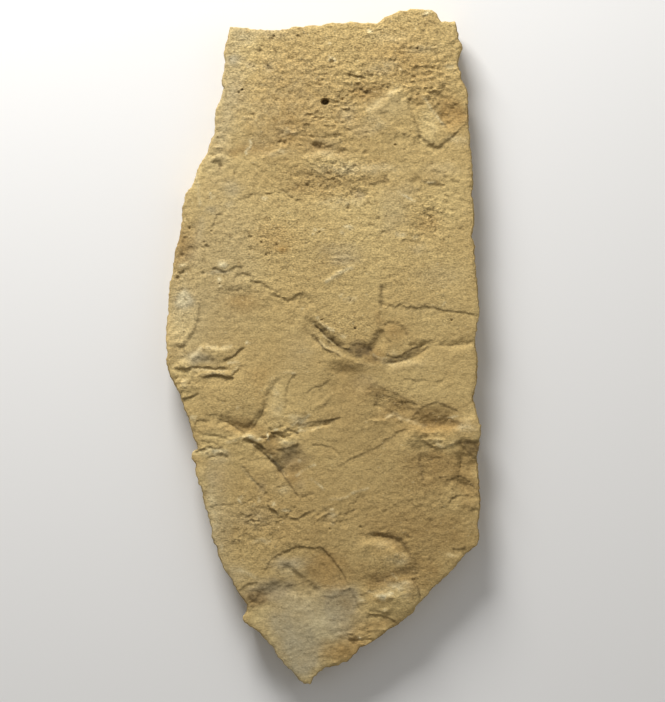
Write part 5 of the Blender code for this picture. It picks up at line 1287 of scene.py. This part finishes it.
class Tree:
    """A material's nodes."""

    def __init__(self, name):
        self.material = bpy.data.materials.new(name)
        self.material.use_nodes = True
        self.nodes = self.material.node_tree.nodes
        self.links = self.material.node_tree.links
        self.shader = self.nodes["Principled BSDF"]

    def add(self, kind, settings=None, inputs=None):
        node = self.nodes.new(kind)
        for name, value in (settings or {}).items():
            setattr(node, name, value)
        for name, value in (inputs or {}).items():
            self.feed(node.inputs[name], value)
        return node

    def feed(self, socket, value):
        if isinstance(value, Value):
            self.links.new(value.socket, socket)
        else:
            socket.default_value = value

    def mask(self, name):
        """A value kept on the mesh."""
        node = self.add("ShaderNodeAttribute", {"attribute_name": name})
        return Value(self, node.outputs["Fac"])

    def scaled(self, vector, amount):
        """A vector or a colour times a number."""
        inputs = {0: vector, "Scale": amount}
        node = self.add("ShaderNodeVectorMath", {"operation": "SCALE"}, inputs)
        return Value(self, node.outputs[0])

    def stretched(self, place, stretch):
        """Places scaled apart along each axis."""
        node = self.add("ShaderNodeVectorMath", {"operation": "MULTIPLY"}, {0: place, 1: stretch})
        return Value(self, node.outputs[0])

    def millimetres(self):
        """Places on the stone in millimetres."""
        coordinates = self.add("ShaderNodeTexCoord")
        return self.scaled(Value(self, coordinates.outputs["Object"]), 1.0 / MM)

    def noise(self, place, pitch, detail=2.0, rough=0.5):
        inputs = {"Vector": place, "Scale": 1.0 / pitch, "Detail": detail, "Roughness": rough}
        node = self.add("ShaderNodeTexNoise", None, inputs)
        return Value(self, node.outputs["Fac"])

    def line(self, field, half_width):
        """1 along the contour of a field at a half, 0 away from it."""
        return abs(field - 0.5).between(half_width, 0.0)

    def blend(self, base, other, amount):
        settings = {"data_type": "RGBA", "clamp_factor": True}
        node = self.add("ShaderNodeMix", settings, {0: amount, 6: base, 7: other})
        return Value(self, node.outputs[2])


def stone_material(colours):
    tree = Tree("ochre_siltstone")
    place = tree.millimetres()
    flat = tree.stretched(place, (0.8, 1.0, 1.0))
    broad = tree.noise(place, 34.0, 3.0)
    patchy = tree.noise(place, 9.0, 4.0, 0.6)
    mottled = tree.noise(flat, 3.4, 4.0, 0.62)
    clots = tree.noise(flat, 1.25, 2.0, 0.5)
    grain = tree.noise(flat, 0.57, 2.0, 0.55)
    dust = tree.noise(flat, 0.9, 2.0, 0.6)
    dashes = tree.noise(tree.stretched(place, (0.6, 1.0, 1.0)), 0.75, 1.0, 0.5)
    bedding = tree.noise(tree.stretched(place, (0.07, 0.07, 1.3)), 1.0, 4.0, 0.6)
    scales = tree.noise(flat, 4.2, 3.0, 0.6)
    cracks = tree.line(scales, 0.012) * mottled.between(0.42, 0.6)

    # The plain stone.
    stone = tree.blend(colours.ochre, colours.straw_and_light, broad.between(0.4, 0.7) * 0.5)
    stone = tree.blend(stone, colours.brown_and_shade, patchy.between(0.52, 0.75) * 0.22)
    stone = tree.blend(stone, colours.straw_and_light, mottled.between(0.5, 0.75) * 0.3)

    # Bedding layers on the broken sides.
    side = tree.mask("broken_side")
    stone = tree.blend(stone, colours.brown_and_shade, side * bedding.between(0.5, 0.66) * 0.6)
    stone = tree.blend(stone, colours.grey_and_shade, side * bedding.between(0.5, 0.34) * 0.5)

    # Stains, scuffs and dirt, with painted shade in the brown, grey and dark ones and painted light
    # in the straw and pale ones, each with how much of the stone it covers.
    patch = 0.55 + patchy * 0.9
    scuffs_and_highlights = 0.3 + mottled.between(0.35, 0.6) * 1.1
    for name, colour, broken, cover in (
            ("straw_tint_and_light", colours.straw_and_light, patch, 0.8),
            ("grey_bloom_and_shade", colours.grey_and_shade, patch, 0.85),
            ("brown_stain_and_shade", colours.brown_and_shade, patch, 0.75),
            ("rust_stain", colours.rust, patch, 0.6),
            ("pale_scuff_and_highlight", colours.chalk_and_highlight, scuffs_and_highlights, 0.8),
            ("dark_dirt_and_shade", colours.dirt_and_shade, 0.5 + mottled, 0.75)):
        stone = tree.blend(stone, colour, tree.mask(name) * broken * cover)
    # Painted shade in the pits and the hole.
    stone = tree.blend(stone, colours.dirt_and_shade, tree.mask("pit_shade") * 0.92)

    # Pale and dark flecks, and the grain itself.
    grainy = tree.mask("grain")
    stone = tree.blend(stone, colours.chalk_and_highlight, dust.between(0.64, 0.78) * grainy * 0.6)
    stone = tree.blend(stone, colours.brown_and_shade, clots.between(0.42, 0.27) * grainy * 0.5)
    specks = dashes.between(0.36, 0.26) * (grainy - 0.5).limited()
    stone = tree.blend(stone, colours.dirt_and_shade, specks * 0.55)
    contrast = (grain - 0.5) * 2.2 + (clots - 0.5) * 0.5
    stone = tree.scaled(stone, 1.0 + contrast * grainy - cracks * 0.22)
    tree.feed(tree.shader.inputs["Base Color"], stone)

    tree.feed(tree.shader.inputs["Roughness"], 0.82 + grain * 0.16)
    tree.shader.inputs["Specular IOR Level"].default_value = 0.25
    height = grain * grainy + clots * 0.5 + mottled * 0.7 - cracks * 0.25
    inputs = {"Strength": 0.9, "Distance": colours.grain_depth, "Height": height}
    bump = tree.add("ShaderNodeBump", None, inputs)
    tree.links.new(bump.outputs["Normal"], tree.shader.inputs["Normal"])
    return tree.material


def floor_material(colour):
    tree = Tree("pale_studio_floor")
    tree.shader.inputs["Base Color"].default_value = colour
    tree.shader.inputs["Roughness"].default_value = 0.7
    return tree.material


def size_property(name, description, default):
    return bpy.props.FloatProperty(
        name=name, description=description, default=default, min=0.0, subtype="DISTANCE",
        unit="LENGTH", precision=5)


def colour_property(name, description, default):
    return bpy.props.FloatVectorProperty(
        name=name, description=description, default=default, min=0.0, max=1.0, size=4,
        subtype="COLOR")


class SlabSizes(bpy.types.PropertyGroup):
    """Sizes of the stone's mesh."""

    face_height: size_property("Face Height", "Mean height of the track face", 0.012)
    rim_width: size_property("Rim Width", "Width of the worn rim round the face", 0.00055)
    rim_fall: size_property("Rim Fall", "How far the rim falls below the face", 0.00035)
    fine_pitch: size_property("Fine Pitch", "Mesh spacing along steps and grooves", 0.00038)
    plain_pitch: size_property("Plain Pitch", "Mesh spacing on the rest of the face", 0.00064)
    edge_pitch: size_property("Edge Pitch", "Mesh spacing round the outline", 0.00062)
    back_pitch: size_property("Back Pitch", "Mesh spacing on the back", 0.0021)


class StoneColours(bpy.types.PropertyGroup):
    """Colours of the stone, some of them also used for painted shade and painted light."""

    ochre: colour_property("Ochre", "Most of the stone", (0.47, 0.335, 0.135, 1.0))
    # Also the painted light on lit slopes of mounds and ledges.
    straw_and_light: colour_property("Straw", "Fresh, lighter stone", (0.58, 0.44, 0.19, 1.0))
    # Also the painted shade on slopes and in hollows turned from the light.
    brown_and_shade: colour_property("Brown", "Iron stains", (0.30, 0.19, 0.066, 1.0))
    rust: colour_property("Rust", "Orange iron stains", (0.44, 0.25, 0.07, 1.0))
    # Also the painted grey-blue shade in shaded hollows.
    grey_and_shade: colour_property("Grey", "Grey bedding", (0.40, 0.34, 0.21, 1.0))
    # Also the painted highlights on lit lips, rims and ridges.
    chalk_and_highlight: colour_property("Chalk", "Scuffs and flecks", (0.74, 0.63, 0.37, 1.0))
    # Dark dirt and specks, and also the painted shade in pits, the hole, hollows and shaded slopes.
    dirt_and_shade: colour_property("Dirt", "Pits and the bottoms of lines", (0.10, 0.068, 0.03, 1.0))
    grain_depth: size_property("Grain Depth", "Height of the finest grain", 0.0003)


class StageSettings(bpy.types.PropertyGroup):
    """The floor, the lights and the camera."""

    floor_colour: colour_property("Floor Colour", "The plain floor", (0.80, 0.79, 0.77, 1.0))
    floor_size: size_property("Floor Size", "Side of the floor", 3.0)
    key_power: bpy.props.FloatProperty(
        name="Key Power", description="Main light", default=7.0, min=0.0, unit="POWER")
    fill_power: bpy.props.FloatProperty(
        name="Fill Power", description="Light from the other side", default=0.9, min=0.0,
        unit="POWER")
    sky_strength: bpy.props.FloatProperty(
        name="Sky Strength", description="Even light from all round", default=0.3, min=0.0)
    camera_height: size_property("Camera Height", "Camera above the track face", 1.2)
    view_width: size_property("View Width", "Width of the picture at the track face", 0.2261)


class FOOTPRINT_OT_slab(bpy.types.Operator):
    """Build the stone slab with its tracks"""

    bl_idname = "footprint.slab"
    bl_label = "Add Track Slab"

    def execute(self, context):
        mesh, places, face_count = make_slab_mesh(context.scene.slab_sizes)
        paint_masks(mesh, places, face_count)
        mesh.shade_smooth()
        mesh.set_sharp_from_angle(angle=SHARP_ANGLE)
        slab = bpy.data.objects.new("siltstone_slab", mesh)
        context.collection.objects.link(slab)
        mesh.materials.append(stone_material(context.scene.stone_colours))
        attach(slab, "root")
        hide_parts(CAD_NODE)
        return {"FINISHED"}


def add_light(context, name, power, size, place):
    """An area light that faces the slab."""
    lamp = bpy.data.lights.new(name, "AREA")
    lamp.energy = power
    lamp.size = size
    light = bpy.data.objects.new(name, lamp)
    light.location = place
    way = Vector(LIGHT_TARGET) - Vector(place)
    light.rotation_euler = way.to_track_quat("-Z", "Y").to_euler()
    context.collection.objects.link(light)


def add_floor(context, stage):
    half = stage.floor_size / 2
    mesh = bpy.data.meshes.new("studio_floor")
    corners = [(-half, -half, 0.0), (half, -half, 0.0), (half, half, 0.0), (-half, half, 0.0)]
    mesh.from_pydata(corners, [], [(0, 1, 2, 3)])
    mesh.materials.append(floor_material(stage.floor_colour))
    floor = bpy.data.objects.new("studio_floor", mesh)
    context.collection.objects.link(floor)


def add_sky(context, stage):
    world = bpy.data.worlds.new("studio_sky")
    world.use_nodes = True
    sky = world.node_tree.nodes["Background"]
    sky.inputs["Color"].default_value = SKY_COLOUR
    sky.inputs["Strength"].default_value = stage.sky_strength
    context.scene.world = world


def add_camera(context, stage):
    """A camera straight above the middle of the view."""
    lens = bpy.data.cameras.new("camera")
    lens.sensor_fit = "HORIZONTAL"
    lens.lens = lens.sensor_width * stage.camera_height / stage.view_width
    lens.clip_start = 0.01
    camera = bpy.data.objects.new("camera", lens)
    context.collection.objects.link(camera)
    face = context.scene.slab_sizes.face_height
    camera.location = (*VIEW_MIDDLE, face + stage.camera_height)
    context.scene.camera = camera
    context.scene.view_settings.view_transform = "Standard"


class FOOTPRINT_OT_stage(bpy.types.Operator):
    """Add the floor, the soft lights and the camera"""

    bl_idname = "footprint.stage"
    bl_label = "Add Stage"

    def execute(self, context):
        stage = context.scene.stage_settings
        add_floor(context, stage)
        add_light(context, "key_light", stage.key_power, KEY_SIZE, KEY_PLACE)
        add_light(context, "fill_light", stage.fill_power, FILL_SIZE, FILL_PLACE)
        add_sky(context, stage)
        add_camera(context, stage)
        return {"FINISHED"}


class FOOTPRINT_PT_panel(bpy.types.Panel):
    """Lists the steps that make the slab and its picture"""

    bl_idname = "FOOTPRINT_PT_panel"
    bl_label = "Fossil Bird Footprint"
    bl_space_type = "VIEW_3D"
    bl_region_type = "UI"
    bl_category = "Footprint"

    def draw(self, context):
        for operator in OPERATORS:
            self.layout.operator(operator.bl_idname)
        for group in GROUPS:
            settings = getattr(context.scene, group)
            box = self.layout.box()
            for name in settings.bl_rna.properties.keys():
                if name not in ("rna_type", "name"):
                    box.prop(settings, name)


GROUPS = {"slab_sizes": SlabSizes, "stone_colours": StoneColours, "stage_settings": StageSettings}
OPERATORS = (FOOTPRINT_OT_slab, FOOTPRINT_OT_stage)
CLASSES = tuple(GROUPS.values()) + OPERATORS + (FOOTPRINT_PT_panel,)


def register():
    for added in CLASSES:
        bpy.utils.register_class(added)
    for name, group in GROUPS.items():
        setattr(bpy.types.Scene, name, bpy.props.PointerProperty(type=group))


def unregister():
    for name in GROUPS:
        delattr(bpy.types.Scene, name)
    for added in reversed(CLASSES):
        bpy.utils.unregister_class(added)


def main():
    register()
    bpy.ops.footprint.slab()
    bpy.ops.footprint.stage()


if __name__ == "__main__":
    main()
